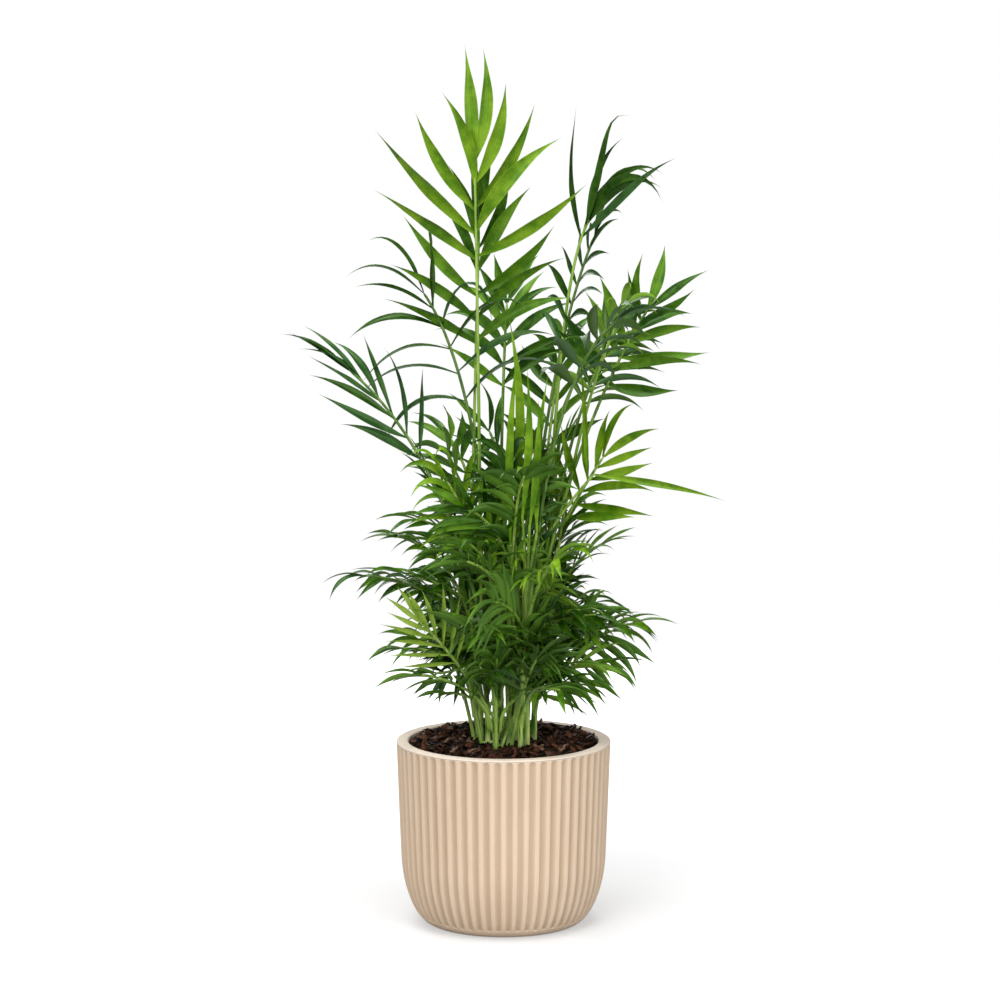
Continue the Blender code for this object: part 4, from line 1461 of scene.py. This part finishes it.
@dataclass(frozen=True)
class FlutedPot:
    """The pot: a bowl-footed cylinder with arched flutes and a rounded lip."""

    effects: Effects
    height: float = 129.0
    rim_radius: float = 75.0
    waist_radius: float = 69.2
    foot_radius: float = 51.0
    bowl_height: float = 46.0
    roundness: float = 1.9
    flare: float = 0.8
    wall: float = 8.4
    floor: float = 9.0
    lip: float = 1.2
    lip_rows: int = 7
    foot_edge: tuple[Range, ...] = ((0.5, 0.0), (0.12, 0.15))
    foot_heights: tuple[float, ...] = (0.5, 1.4, 2.4)
    inner_heights: tuple[float, ...] = (118.0, 96.0, 70.0, 46.0, 28.0, 14.0)
    flutes: int = 58
    across_flute: int = 12
    depth: float = 1.3
    crest_share: float = 0.4
    hollow_power: float = 0.72
    fade: float = 1.5
    flute_foot: float = 5.0
    flute_top: float = 127.9
    arch: float = 2.0
    below_flutes: float = 0.6
    above_flutes: float = 0.3
    past_arch: float = 1.2
    end_rows: int = 12
    rows: int = 46
    row_power: float = 1.25
    outside: str = "outside"

    def radius_at(self, height: float) -> float:
        """Gives the outer radius over the crests of the flutes.

        Args:
            height: The height over the underside.

        Returns:
            The radius.
        """
        straight = mix(self.waist_radius, self.rim_radius, (max(height, 0.0) / self.height) ** self.flare)
        inset = max(0.0, 1.0 - height / self.bowl_height)
        bowl = 1.0 - (1.0 - inset**self.roundness) ** (1.0 / self.roundness)
        return straight - (self.waist_radius - self.foot_radius) * bowl

    def row_heights(self) -> list[float]:
        """Gives the heights of the outer wall's rows, close together where the flutes end.

        Returns:
            The heights, upwards.
        """
        foot, top = self.flute_foot - self.below_flutes, self.flute_top + self.above_flutes
        low, high = foot + self.arch + self.past_arch, top - self.arch - self.past_arch
        ends, middle = even_shares(self.end_rows)[1:], even_shares(self.rows)[1:]
        heights = [*self.foot_heights, foot, *(mix(foot, low, share) for share in ends)]
        heights += [mix(low, high, share**self.row_power) for share in middle]
        return heights + [mix(high, top, share) for share in ends]

    def profile(self) -> list[Range]:
        """Gives the pot's turned outline.

        Returns:
            (radius, height) pairs from the foot's edge up the outer side, over the
            lip and down the inner wall to the floor.
        """
        outline = [(self.radius_at(0.0) - inset, height) for inset, height in self.foot_edge]
        outline += [(self.radius_at(height), height) for height in self.row_heights()]
        turns = [math.pi / 2.0 * share for share in even_shares(self.lip_rows)]
        insets = [self.lip * (1.0 - math.cos(turn)) for turn in turns]
        heights = [self.height - self.lip * (1.0 - math.sin(turn)) for turn in turns]
        outline += [(self.rim_radius - inset, height) for inset, height in zip(insets, heights)]
        inner = self.rim_radius - self.wall
        outline += [(inner + inset, height) for inset, height in zip(reversed(insets), reversed(heights))]
        inner_heights = (*self.inner_heights, self.floor)
        return outline + [(self.radius_at(height) - self.wall, height) for height in inner_heights]

    def flute_tree(self) -> GrowTree:
        """Builds the tree that presses the flutes into the outer wall.

        Returns:
            The tree.
        """
        inputs = {
            "Flutes": float(self.flutes),
            "Depth": self.depth * MM,
            "Crest": self.crest_share,
            "Foot": self.flute_foot * MM,
            "Top": self.flute_top * MM,
            "Arch": self.arch * MM,
        }
        made = GrowTree("press_flutes", inputs)
        wires, given = made.wires, made.given
        x, y, z = wires.separate(made.position())
        turn = wires.times(wires.math("ARCTAN2", y, x), 0.5 / math.pi)
        within = wires.math("FRACT", wires.math("MULTIPLY_ADD", turn, given["Flutes"], 0.5))
        aside = wires.math("ABSOLUTE", wires.math("MULTIPLY_ADD", within, 2.0, -1.0))
        from_middle = wires.math("DIVIDE", aside, wires.minus(1.0, given["Crest"]), clamp=True)
        left = wires.minus(1.0, wires.times(from_middle, from_middle), clamp=True)
        hollow = wires.math("POWER", left, self.hollow_power)
        drop = wires.times(given["Arch"], wires.minus(1.0, wires.math("SQRT", left)))
        to_top = wires.minus(wires.minus(given["Top"], drop), z)
        to_foot = wires.minus(z, wires.plus(given["Foot"], drop))
        inside = wires.remap(wires.math("MINIMUM", to_top, to_foot), 0.0, self.fade * MM)
        groove = wires.times(wires.times(hollow, inside), made.read(self.outside))
        inwards = wires.times(wires.times(groove, given["Depth"]), -1.0)
        push = wires.scaled(wires.vector("NORMALIZE", wires.combine(x, y, 0.0)), inwards)
        made.end(made.moved(made.marked(given["Geometry"], CeramicFinish.groove, groove), push))
        return made

    def turned(self) -> Piece:
        """Turns the outline into a closed body, with the points of its outer side marked.

        Returns:
            The body.
        """
        outline, sides = self.profile(), self.flutes * self.across_flute
        rings = [level_ring(radius, sides, height) for radius, height in outline]
        made = turned_body("pot_body", rings, (Vector(), Vector((0.0, 0.0, self.floor))))
        top = 1 + sides * (1 + [height for _, height in outline].index(self.height))
        mark = made.data.attributes.new(self.outside, "FLOAT", "POINT")
        mark.data.foreach_set("value", [float(point < top) for point in range(len(made.data.vertices))])
        return made

    def build(self) -> Piece:
        """Builds and dresses the pot.

        Returns:
            The pot.
        """
        look = CeramicFinish().material(self.effects)
        made = self.flute_tree().apply(self.turned(), "fluted_pot", {"Material": look})
        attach(made, BODY)
        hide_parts("pot")
        return made


@dataclass(frozen=True)
class BarkMulch:
    """The potting mix: a low mound of coir under several layers of bark chips."""

    effects: Effects
    edge_radius: float = 65.9
    edge_height: float = 122.8
    dome: float = 0.8
    bank: float = 6.8
    bank_azimuth: float = 80.0
    bank_power: float = 3.0
    bottom: float = 108.0
    rings: int = 26
    sides: int = 96
    lumps: float = 1.3
    lump_noise: Range = (170.0, 3.0)
    plain_below: float = 113.0
    scatter_radius: float = 62.2
    chip: Triple = (11.2, 3.5, 1.3)
    chip_cuts: tuple[int, int, int] = (5, 3, 2)
    end_narrowing: float = 0.5
    chip_size: Range = (0.6, 1.15)
    chip_width: Range = (0.6, 1.25)
    warp: float = 3.0
    warp_noise: Range = (230.0, 2.0)
    turn_seed: int = 7
    size_seed: int = 11
    width_seed: int = 13
    lift_seed: int = 17

    def point_at(self, radius: float, azimuth: float) -> Vector:
        """Gives a point of the mound, which is banked up against the wall behind.

        Args:
            radius: Its distance from the middle.
            azimuth: Its angle from +X, in degrees.

        Returns:
            The point.
        """
        share = min(radius / self.edge_radius, 1.0)
        behind = 0.5 + 0.5 * math.cos(math.radians(azimuth - self.bank_azimuth))
        banked = self.bank * share**self.bank_power * behind
        return polar(radius, azimuth, self.edge_height + self.dome * (1.0 - share**2) + banked)

    def mound(self, name: str, reach: float, closed: bool) -> Piece:
        """Makes the mound's surface.

        Args:
            name: The object's name.
            reach: Its radius.
            closed: Whether it gets a wall and an underside.

        Returns:
            The mound.
        """
        turns = [FULL_TURN * side / self.sides for side in range(self.sides)]
        radii = [reach * ring / self.rings for ring in range(1, self.rings + 1)]
        rings = [[self.point_at(radius, turn) for turn in turns] for radius in radii]
        poles = [self.point_at(0.0, 0.0)]
        if closed:
            rings.append(level_ring(reach, self.sides, self.bottom))
            poles.append(Vector((0.0, 0.0, self.bottom)))
        return turned_body(name, rings, poles, downwards=True)

    def coir_tree(self) -> GrowTree:
        """Builds the tree that roughens the coir.

        Returns:
            The tree.
        """
        made = GrowTree("rough_coir", {"Lumps": self.lumps * MM, "Floor": self.plain_below * MM})
        wires, given = made.wires, made.given
        place = made.position()
        noise = wires.noise(place, *self.lump_noise)[0]
        rise = wires.times(wires.math("MULTIPLY_ADD", noise, 2.0, -1.0), given["Lumps"])
        over = wires.math("GREATER_THAN", wires.separate(place)[2], given["Floor"])
        made.end(made.moved(given["Geometry"], wires.combine(0.0, 0.0, wires.times(rise, over))))
        return made

    def drawn(self, tree: GrowTree, kind: str, seed: int, low: Feed, high: Feed) -> Socket:
        """Draws a value for each chip, with a seed of its own.

        Args:
            tree: The chips' tree.
            kind: FLOAT or FLOAT_VECTOR.
            seed: What is added to the tree's seed.
            low: The least value.
            high: The largest value.

        Returns:
            The value.
        """
        first, out = (2, 1) if kind == "FLOAT" else (0, 0)
        inputs = {"Seed": tree.wires.plus(tree.given["Seed"], float(seed)), first: low, first + 1: high}
        return tree.wires.node("FunctionNodeRandomValue", inputs, data_type=kind).outputs[out]

    def shaped_chip(self, tree: GrowTree, spot: Socket) -> Socket:
        """Makes one chip, a block whose ends are narrower than its middle.

        Args:
            tree: The chips' tree.
            spot: The place of each point.

        Returns:
            The chip.
        """
        wires, size = tree.wires, Vector(self.chip) * MM
        cuts = dict(zip(("Vertices X", "Vertices Y", "Vertices Z"), self.chip_cuts))
        block = wires.node("GeometryNodeMeshCube", {"Size": size, **cuts})
        from_middle = wires.math("ABSOLUTE", wires.separate(spot)[0])
        taper = wires.minus(1.0, wires.times(from_middle, self.end_narrowing / (size.x / 2.0)))
        narrowed = wires.vector("MULTIPLY", spot, wires.combine(1.0, taper, taper))
        inputs = {"Geometry": block.outputs[0], "Position": narrowed}
        return wires.node("GeometryNodeSetPosition", inputs).outputs[0]

    def chip_tree(self) -> GrowTree:
        """Builds the tree that strews bent, uneven chips over a surface.

        Returns:
            The tree.
        """
        inputs = {
            "Density": 60000.0,
            "Seed": 1,
            "Tilt": 0.5,
            "Least": self.chip_size[0],
            "Most": self.chip_size[1],
            "Lift": 2.0 * MM,
            "Warp": self.warp * MM,
        }
        made = GrowTree("strew_chips", inputs)
        wires, given = made.wires, made.given
        surface = {"Mesh": given["Geometry"], "Density": given["Density"], "Seed": given["Seed"]}
        strewn = wires.node("GeometryNodeDistributePointsOnFaces", surface, distribute_method="RANDOM")
        spot = made.position()
        tilt, back = given["Tilt"], wires.times(given["Tilt"], -1.0)
        furthest = wires.combine(tilt, tilt, math.tau)
        turn = self.drawn(made, "FLOAT_VECTOR", self.turn_seed, wires.combine(back, back, 0.0), furthest)
        large = self.drawn(made, "FLOAT", self.size_seed, given["Least"], given["Most"])
        wide = self.drawn(made, "FLOAT", self.width_seed, *self.chip_width)
        chips = {
            "Points": strewn.outputs["Points"],
            "Instance": self.shaped_chip(made, spot),
            "Rotation": wires.node("FunctionNodeEulerToRotation", {0: turn}).outputs[0],
            "Scale": wires.combine(large, wires.times(large, wide), large),
        }
        placed = wires.node("GeometryNodeInstanceOnPoints", chips)
        rise = wires.combine(0.0, 0.0, self.drawn(made, "FLOAT", self.lift_seed, 0.0, given["Lift"]))
        lifting = {"Instances": placed.outputs[0], "Translation": rise, "Local Space": False}
        raised = wires.node("GeometryNodeTranslateInstances", lifting)
        real = wires.node("GeometryNodeRealizeInstances", {"Geometry": raised.outputs[0]})
        noise = wires.noise(spot, *self.warp_noise)["Color"]
        bend = wires.vector("SUBTRACT", noise, (0.5, 0.5, 0.5))
        made.end(made.moved(real.outputs[0], wires.scaled(bend, wires.times(given["Warp"], 2.0))))
        return made

    def build(self) -> list[Piece]:
        """Builds and dresses the coir and the chips.

        Returns:
            The pieces.
        """
        coir, whole = COIR_FINISH.material(self.effects), self.mound("mound", self.edge_radius, True)
        made = [self.coir_tree().apply(whole, "coir_bed", {"Material": coir})]
        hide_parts("soil")
        tree = self.chip_tree()
        for strewing in STREWINGS:
            name = strewing.finish.name
            values = {
                "Density": strewing.density,
                "Seed": strewing.seed,
                "Tilt": strewing.tilt,
                "Lift": strewing.lift * MM,
                "Material": strewing.finish.material(self.effects),
            }
            made.append(tree.apply(self.mound(f"{name}_bed", self.scatter_radius, False), name, values))
        for piece in made:
            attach(piece, BODY)
        return made


@dataclass(frozen=True)
class StalkSweep:
    """Sweeps stalks along their axes: ribbed tubes, closed at both ends."""

    name: str
    sides: int
    ridges: float
    ridge_depth: float
    relief: float
    relief_noise: Range = (120.0, 2.0)
    around: str = "around"

    def curve(self, stalks: Sequence[Limb]) -> Piece:
        """Makes one curve object with a spline for each stalk.

        Args:
            stalks: The stalks.

        Returns:
            The object.
        """
        data = bpy.data.curves.new(f"{self.name}_axes", "CURVE")
        data.dimensions = "3D"
        for stalk in stalks:
            spline = data.splines.new("POLY")
            spline.points.add(len(stalk.points) - 1)
            flat = [value for point in stalk.points for value in (*(point * MM), 1.0)]
            spline.points.foreach_set("co", flat)
            spline.points.foreach_set("radius", [radius * MM for radius in stalk.radii])
        return add_object(f"{self.name}_axes", data)

    def sweep_tree(self) -> GrowTree:
        """Builds the tree that sweeps a ribbed ring along each spline.

        Returns:
            The tree.
        """
        inputs = {
            "Sides": self.sides,
            "Ridges": self.ridges,
            "Ridge Depth": self.ridge_depth * MM,
            "Relief": self.relief * MM,
        }
        made = GrowTree(f"sweep_{self.name}", inputs)
        wires, given = made.wires, made.given
        circle = wires.node("GeometryNodeCurvePrimitiveCircle", {"Resolution": given["Sides"], "Radius": 1.0})
        share = wires.node("GeometryNodeSplineParameter").outputs["Factor"]
        sweep = {
            "Curve": given["Geometry"],
            "Profile Curve": made.marked(circle.outputs[0], self.around, share),
            "Scale": wires.node("GeometryNodeInputRadius").outputs[0],
            "Fill Caps": True,
        }
        swept = wires.node("GeometryNodeCurveToMesh", sweep)
        turn = wires.times(made.read(self.around), wires.times(given["Ridges"], math.tau))
        ridge = wires.times(wires.math("COSINE", turn), given["Ridge Depth"])
        noise = wires.noise(made.position(), *self.relief_noise)[0]
        uneven = wires.times(wires.minus(noise, 0.5), given["Relief"])
        normal = wires.node("GeometryNodeInputNormal").outputs[0]
        made.end(made.moved(swept.outputs[0], wires.scaled(normal, wires.plus(ridge, uneven))))
        return made

    def build(self, stalks: Sequence[Limb], look: Look) -> Piece:
        """Sweeps the stalks into one mesh.

        Args:
            stalks: The stalks.
            look: Their material.

        Returns:
            The piece.
        """
        made = self.sweep_tree().apply(self.curve(stalks), self.name, {"Material": look})
        made.data.shade_smooth()
        return made


@dataclass(frozen=True)
class Stems:
    """The stems of the clump, with the ring that each old frond left, sunk in the mix."""

    sunk: float = 7.0
    step: float = 1.6
    first_node: float = 9.0
    node_gap: float = 15.0
    node_swell: float = 0.18
    node_width: float = 1.5
    foot_swell: float = 0.1
    foot_reach: float = 14.0
    top_narrow: float = 0.75
    sheath: float = 0.15
    sweep: StalkSweep = StalkSweep("stems", 20, 7.0, 0.1, 0.5)

    def stalk(self, cane: Limb, index: int) -> Limb:
        """Follows a stem from under the mix to its tip.

        Args:
            cane: The stem.
            index: Its number, which shifts its rings.

        Returns:
            The stalk.
        """
        length = cane.length()
        down = cane.direction_at(0.0) * self.sunk
        points, radii = [cane.at(0.0) - down], [cane.radius_at(0.0) * STEM_SLIMNESS + self.foot_swell]
        shift = (index * GOLDEN_ANGLE / FULL_TURN) % 1.0
        for share in even_shares(int(length / self.step)):
            from_node = (share * length - self.first_node) / self.node_gap - shift
            nearest = (from_node - round(from_node)) * self.node_gap
            swell = self.node_swell * math.exp(-((nearest / self.node_width) ** 2))
            sheath = self.sheath * (1.0 - from_node % 1.0)
            foot = self.foot_swell * math.exp(-share * length / self.foot_reach)
            points.append(cane.at(share))
            radii.append(cane.radius_at(share) * STEM_SLIMNESS + swell + sheath + foot)
        radii[-1] *= self.top_narrow
        return Limb(points, radii)

    def build(self, canes: list[Limb], effects: Effects) -> Piece:
        """Builds and dresses the stems.

        Args:
            canes: The stems.
            effects: The shared effects.

        Returns:
            The piece.
        """
        stalks = [self.stalk(cane, index) for index, cane in enumerate(canes)]
        made = self.sweep.build(stalks, STEM_FINISH.material(effects))
        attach(made, BODY)
        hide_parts(*(f"stem_{index + 1}" for index in range(len(canes))))
        return made


@dataclass(frozen=True)
class Ribs:
    """The fronds' stalks and ribs, each with a sheath that clasps its stem."""

    sheath_reach: float = 17.0
    sheath_steps: int = 8
    sheath_slack: float = 0.35
    sheath_bulge: float = 1.5
    sheath_pinch: float = 0.7
    sheath_lean: float = 0.55
    lowest_sheath: float = 0.02
    collar: float = 1.5
    collar_reach: float = 0.1
    collar_power: float = 1.5
    thin: float = 0.84
    tip_narrow: float = 0.4
    sides: int = 10
    ridges: float = 3.0
    ridge_depth: float = 0.06
    relief: float = 0.25

    def stalk(self, grown: GrownFrond, cane: Limb) -> Limb:
        """Follows a rib from its sheath on the stem to its tip.

        Args:
            grown: The frond with its rib.
            cane: The stem that carries it.

        Returns:
            The stalk.
        """
        low = max(grown.foot_share - self.sheath_reach / cane.length(), self.lowest_sheath)
        points, radii = [], []
        for part in even_shares(self.sheath_steps)[:-1]:
            share = mix(low, grown.foot_share, part)
            points.append(cane.at(share).lerp(grown.rib.points[0], part**2 * self.sheath_lean))
            swell = self.sheath_slack * (self.sheath_bulge * math.sqrt(part) - self.sheath_pinch)
            radii.append(mix(cane.radius_at(share) * STEM_SLIMNESS + swell, self.collar, part**2))
        points += grown.rib.points
        for share in even_shares(len(grown.rib.points) - 1):
            flare = max(0.0, 1.0 - share / self.collar_reach)
            radii.append(mix(grown.rib.radius_at(share) * self.thin, self.collar, flare**self.collar_power))
        radii[-1] *= self.tip_narrow
        return Limb(points, radii)

    def build(self, slot: str, stalks: list[Limb], look: Look) -> Piece:
        """Builds and dresses the ribs of several fronds.

        Args:
            slot: The slot of their finish, which names the piece too.
            stalks: The ribs.
            look: Their material.

        Returns:
            The piece.
        """
        name = slot.replace("frond", "ribs")
        made = StalkSweep(name, self.sides, self.ridges, self.ridge_depth, self.relief).build(stalks, look)
        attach(made, BODY)
        return made


@dataclass(frozen=True)
class Spear:
    """A young frond that is still folded: one upright strap, or a few side by side."""

    foot: Triple
    tip: Triple
    half_width: float
    bow: float
    look: float


@dataclass(frozen=True)
class Spears:
    """The folded young fronds that stand up the middle of the clump."""

    steps: int = 16
    stalk_steps: int = 14
    leaves_at: float = 0.8
    bend_up: float = 0.55
    stalk_radii: Range = (1.5, 0.9)
    straps: tuple[Spear, ...] = (
        Spear((13, -38, 292), (16, -44, 398), 2.8, 3.0, 262),
        Spear((18, -38, 286), (24, -44, 376), 2.6, 2.0, 274),
        Spear((23, -34, 280), (31, -42, 394), 2.9, -4.0, 284),
        Spear((8, -12, 300), (3, -16, 432), 3.2, 6.0, 262),
        Spear((5, -22, 270), (10, -26, 410), 2.8, -3.0, 254),
        Spear((12, -6, 250), (14, -10, 372), 3.0, -3.0, 276),
        Spear((-6, -8, 230), (-22, -12, 330), 2.6, 5.0, 262),
        Spear((30, 4, 236), (52, 0, 330), 2.8, -6.0, 270),
    )

    def leaflet(self, spear: Spear) -> Leaflet:
        """Lays a strap from its foot to its tip.

        Args:
            spear: The strap.

        Returns:
            Its axis and faces.
        """
        foot, tip = Vector(spear.foot), Vector(spear.tip)
        along = (tip - foot).normalized()
        normal = square_to(polar(1.0, spear.look), along)
        bowed = along.cross(normal) * spear.bow
        shares = even_shares(self.steps)
        points = [foot.lerp(tip, share) + bowed * math.sin(math.pi * share) for share in shares]
        return Leaflet(points, [normal] * len(points), spear.half_width)

    def stalk(self, spear: Spear, canes: list[Limb]) -> Limb:
        """Follows a strap's stalk from the nearest stem to the strap's foot.

        Args:
            spear: The strap.
            canes: The stems.

        Returns:
            The stalk.
        """
        foot = Vector(spear.foot)
        cane = min(canes, key=lambda each: (each.points[-1] - foot).length)
        start = cane.at(self.leaves_at)
        bend = Vector((start.x, start.y, mix(start.z, foot.z, self.bend_up)))
        radii = [mix(*self.stalk_radii, share) for share in even_shares(self.stalk_steps)]
        return Limb(arc(start, bend, foot, self.stalk_steps), radii)


@dataclass
class Foliage:
    """All the blades of the plant, joined by tint."""

    crease: float = 60.0
    shape: BladeShape = field(default_factory=BladeShape)
    dice: random.Random = field(default_factory=lambda: random.Random(RIPPLE_SEED))

    def piece(self, tint: Tint, leaflets: list[Leaflet], look: Look) -> Piece:
        """Joins the blades of one tint.

        Args:
            tint: The tint.
            leaflets: The leaflets.
            look: Their material.

        Returns:
            The piece.
        """
        points: list[Vector] = []
        faces: Faces = []
        maps: Maps = []
        for leaf in leaflets:
            first = len(points)
            corners, sides, places = self.shape.blade(leaf, self.dice.uniform(0.0, math.tau))
            points += corners
            faces += [tuple(first + corner for corner in side) for side in sides]
            maps += places
        made = to_mesh(f"blades_{tint.value}", points, faces, maps)
        made.data.set_sharp_from_angle(angle=math.radians(self.crease))
        made.data.materials.append(look)
        return made


@dataclass
class ParlourPalm:
    """The plant: stems, ribs and blades, grown by one rule."""

    effects: Effects
    clump: Clump = field(default_factory=Clump)
    rule: LeafletRule = field(default_factory=LeafletRule)
    ribs: Ribs = field(default_factory=Ribs)
    spears: Spears = field(default_factory=Spears)
    foliage: Foliage = field(default_factory=Foliage)
    stray_share: float = 0.27
    dice: random.Random = field(default_factory=lambda: random.Random(STRAY_SEED))
    canes: list[Limb] = field(init=False)
    grown: list[GrownFrond] = field(init=False)
    fillers: list[GrownFrond] = field(init=False)
    laid: dict[str, list[Leaflet]] = field(init=False)
    tints: dict[str, Tint] = field(init=False)

    def __post_init__(self) -> None:
        """Grows the stems, the fronds, their leaflets and the small fronds, and deals the tints."""
        named = [*TALL_FRONDS, *LOW_FRONDS, *(frond for tier in TIERS for frond in tier.fronds())]
        self.canes, self.grown = self.clump.grow(named)
        setting, fine = random.Random(SETTING_SEED), random.Random(BEND_SEED)
        self.laid = self.rule.leaflets(self.grown, setting, fine)
        drawn = [frond for filling in FILLINGS for frond in filling.fronds(fine)]
        low, high = FAN_AZIMUTHS
        clear = [each for each in drawn if each.height > FAN_TOP or not low < each.azimuth < high]
        self.fillers = self.clump.fill(clear, self.canes)
        self.laid |= self.rule.leaflets(self.fillers, fine, fine)
        self.tints = {each.frond.name: FROND_TINTS.get(each.frond.name, Tint.MIDDLE) for each in self.grown}
        for index, each in enumerate(self.fillers):
            self.tints[each.frond.name] = FILLING_TINTS[index % len(FILLING_TINTS)]

    def build(self) -> list[Piece]:
        """Builds and dresses the plant, and gives its pieces."""
        LOG.info("%d stems, %d fronds, %d small ones", len(self.canes), len(self.grown), len(self.fillers))
        return [Stems().build(self.canes, self.effects), *self.dress_ribs(), *self.dress_blades()]

    def dress_ribs(self) -> list[Piece]:
        """Makes the ribs in three tones, each as its frond's slot says.

        Returns:
            The pieces.
        """
        slots = {name: LEAF_FINISHES[tint].slot for name, tint in self.tints.items()}
        slots |= {name: LIGHT_RIBS for name in BRIGHT_RIBS}
        made = []
        for slot, finish in RIB_FINISHES.items():
            sprays = [each for each in (*self.grown, *self.fillers) if slots[each.frond.name] == slot]
            stalks = [self.ribs.stalk(each, self.canes[each.cane]) for each in sprays]
            if slot == LIGHT_RIBS:
                stalks += [self.spears.stalk(spear, self.canes) for spear in self.spears.straps]
            made.append(self.ribs.build(slot, stalks, finish.material(self.effects)))
        return made

    def dress_blades(self) -> list[Piece]:
        """Deals the leaflets by the tint of their spray, with a few strays, and joins each tint.

        Returns:
            The pieces.
        """
        dealt: dict[Tint, list[Leaflet]] = {tint: [] for tint in LEAF_FINISHES}
        for name, tint in self.tints.items():
            for leaf in self.laid[name]:
                strays = self.dice.random() < self.stray_share
                dealt[STRAYS.get(tint, tint) if strays else tint].append(leaf)
        dealt[Tint.YOUNG] += [self.spears.leaflet(spear) for spear in self.spears.straps]
        names = [each.frond.name for each in self.grown]
        made = []
        for tint, finish in LEAF_FINISHES.items():
            piece = self.foliage.piece(tint, dealt[tint], finish.material(self.effects))
            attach(piece, BODY)
            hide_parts(*(name for name in names if self.tints[name] is tint))
            made.append(piece)
        return made


@dataclass(frozen=True)
class Lamp:
    """A square soft light that faces the plant, with its side in metres and its power in watts."""

    name: str
    place: Triple
    side: float
    power: float
    colour: Colour = WHITE
    aim: Triple = (0.0, 0.0, 0.28)

    def hang(self) -> None:
        """Hangs the light in its place."""
        data = bpy.data.lights.new(self.name, "AREA")
        data.shape, data.size, data.energy, data.color = "SQUARE", self.side, self.power, self.colour
        made = add_object(self.name, data)
        made.location = self.place
        made.rotation_euler = (Vector(self.aim) - Vector(self.place)).to_track_quat("-Z", "Y").to_euler()


@dataclass(frozen=True)
class Studio:
    """A white floor under soft light, and the camera."""

    camera_place: Triple = (0.0, -2.625, 0.656)
    pitch: float = 7.76
    sensor: float = 36.0
    focal_share: float = 3.813
    shift: float = -0.0035
    clip: Range = (0.1, 60.0)
    floor_radius: float = 1100.0
    floor_drop: float = 0.2
    floor_sides: int = 96
    floor_tone: float = 0.42
    floor_gloss: float = 0.9
    floor_specular: float = 0.1
    floor_glow: Range = (0.45, 0.82)
    floor_band: Range = (0.2, 0.6)
    sky: float = 0.22
    backdrop: float = 1.0
    lamps: tuple[Lamp, ...] = (
        Lamp("key", (-1.0, -2.3, 1.3), 1.3, 43.0, (1.0, 0.995, 0.985)),
        Lamp("fill", (1.85, -1.6, 0.75), 1.6, 30.0, (0.98, 0.99, 1.0)),
        Lamp("top", (-0.1, -0.4, 2.4), 1.4, 62.0),
        Lamp("back", (-0.7, 2.3, 1.4), 1.6, 30.0),
    )

    def camera(self) -> None:
        """Places the camera at the photograph's angle."""
        data = bpy.data.cameras.new("camera")
        data.sensor_width = self.sensor
        data.lens = self.sensor * self.focal_share
        data.shift_x = self.shift
        data.clip_start, data.clip_end = self.clip
        made = add_object("camera", data)
        made.location = self.camera_place
        made.rotation_euler = (math.radians(90.0 - self.pitch), 0.0, 0.0)
        bpy.context.scene.camera = made

    def floor(self) -> None:
        """Lays the white floor, which glows a little where the camera sees it."""
        ring = level_ring(self.floor_radius, self.floor_sides, -self.floor_drop)
        made = turned_body("floor", [ring], [Vector((0.0, 0.0, -self.floor_drop))], downwards=True)
        look = Surface("floor_white", self.floor_gloss, self.floor_specular)
        wires, inputs = look.wires, look.shader.inputs
        inputs["Base Color"].default_value = (self.floor_tone, self.floor_tone, self.floor_tone, 1.0)
        inputs["Emission Color"].default_value = (*WHITE, 1.0)
        seen = wires.node("ShaderNodeLightPath").outputs["Is Camera Ray"]
        out = wires.node("ShaderNodeVectorMath", {0: look.place()}, operation="LENGTH").outputs["Value"]
        glow = wires.remap(out, *self.floor_band, *self.floor_glow)
        wires.feed(inputs["Emission Strength"], wires.times(seen, glow))
        made.data.materials.append(look.material)

    def backcloth(self) -> None:
        """Sets up a dim white sky that the camera sees as a bright backdrop."""
        world = bpy.data.worlds.new("sky")
        world.use_nodes = True
        wires, inputs = Wiring(world.node_tree), world.node_tree.nodes["Background"].inputs
        inputs["Color"].default_value = (*WHITE, 1.0)
        seen = wires.node("ShaderNodeLightPath").outputs["Is Camera Ray"]
        wires.feed(inputs["Strength"], wires.math("MULTIPLY_ADD", seen, self.backdrop - self.sky, self.sky))
        bpy.context.scene.world = world
        bpy.context.scene.view_settings.view_transform = "Standard"

    def build(self) -> None:
        """Sets up the sky, the floor, the camera and the lights."""
        self.backcloth()
        self.floor()
        self.camera()
        for lamp in self.lamps:
            lamp.hang()


def main() -> None:
    """Builds the studio, the pot, the potting mix and the plant in turn."""
    logging.basicConfig(level=logging.INFO, format="%(name)s: %(message)s")
    LOG.info("%d solids to dress", len(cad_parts))
    effects = Effects()
    Studio().build()
    pieces = [FlutedPot(effects).build(), *BarkMulch(effects).build(), *ParlourPalm(effects).build()]
    for piece in pieces:
        LOG.info("%s: %d triangles", piece.name, sum(len(face.vertices) - 2 for face in piece.data.polygons))


if __name__ == "__main__":
    main()
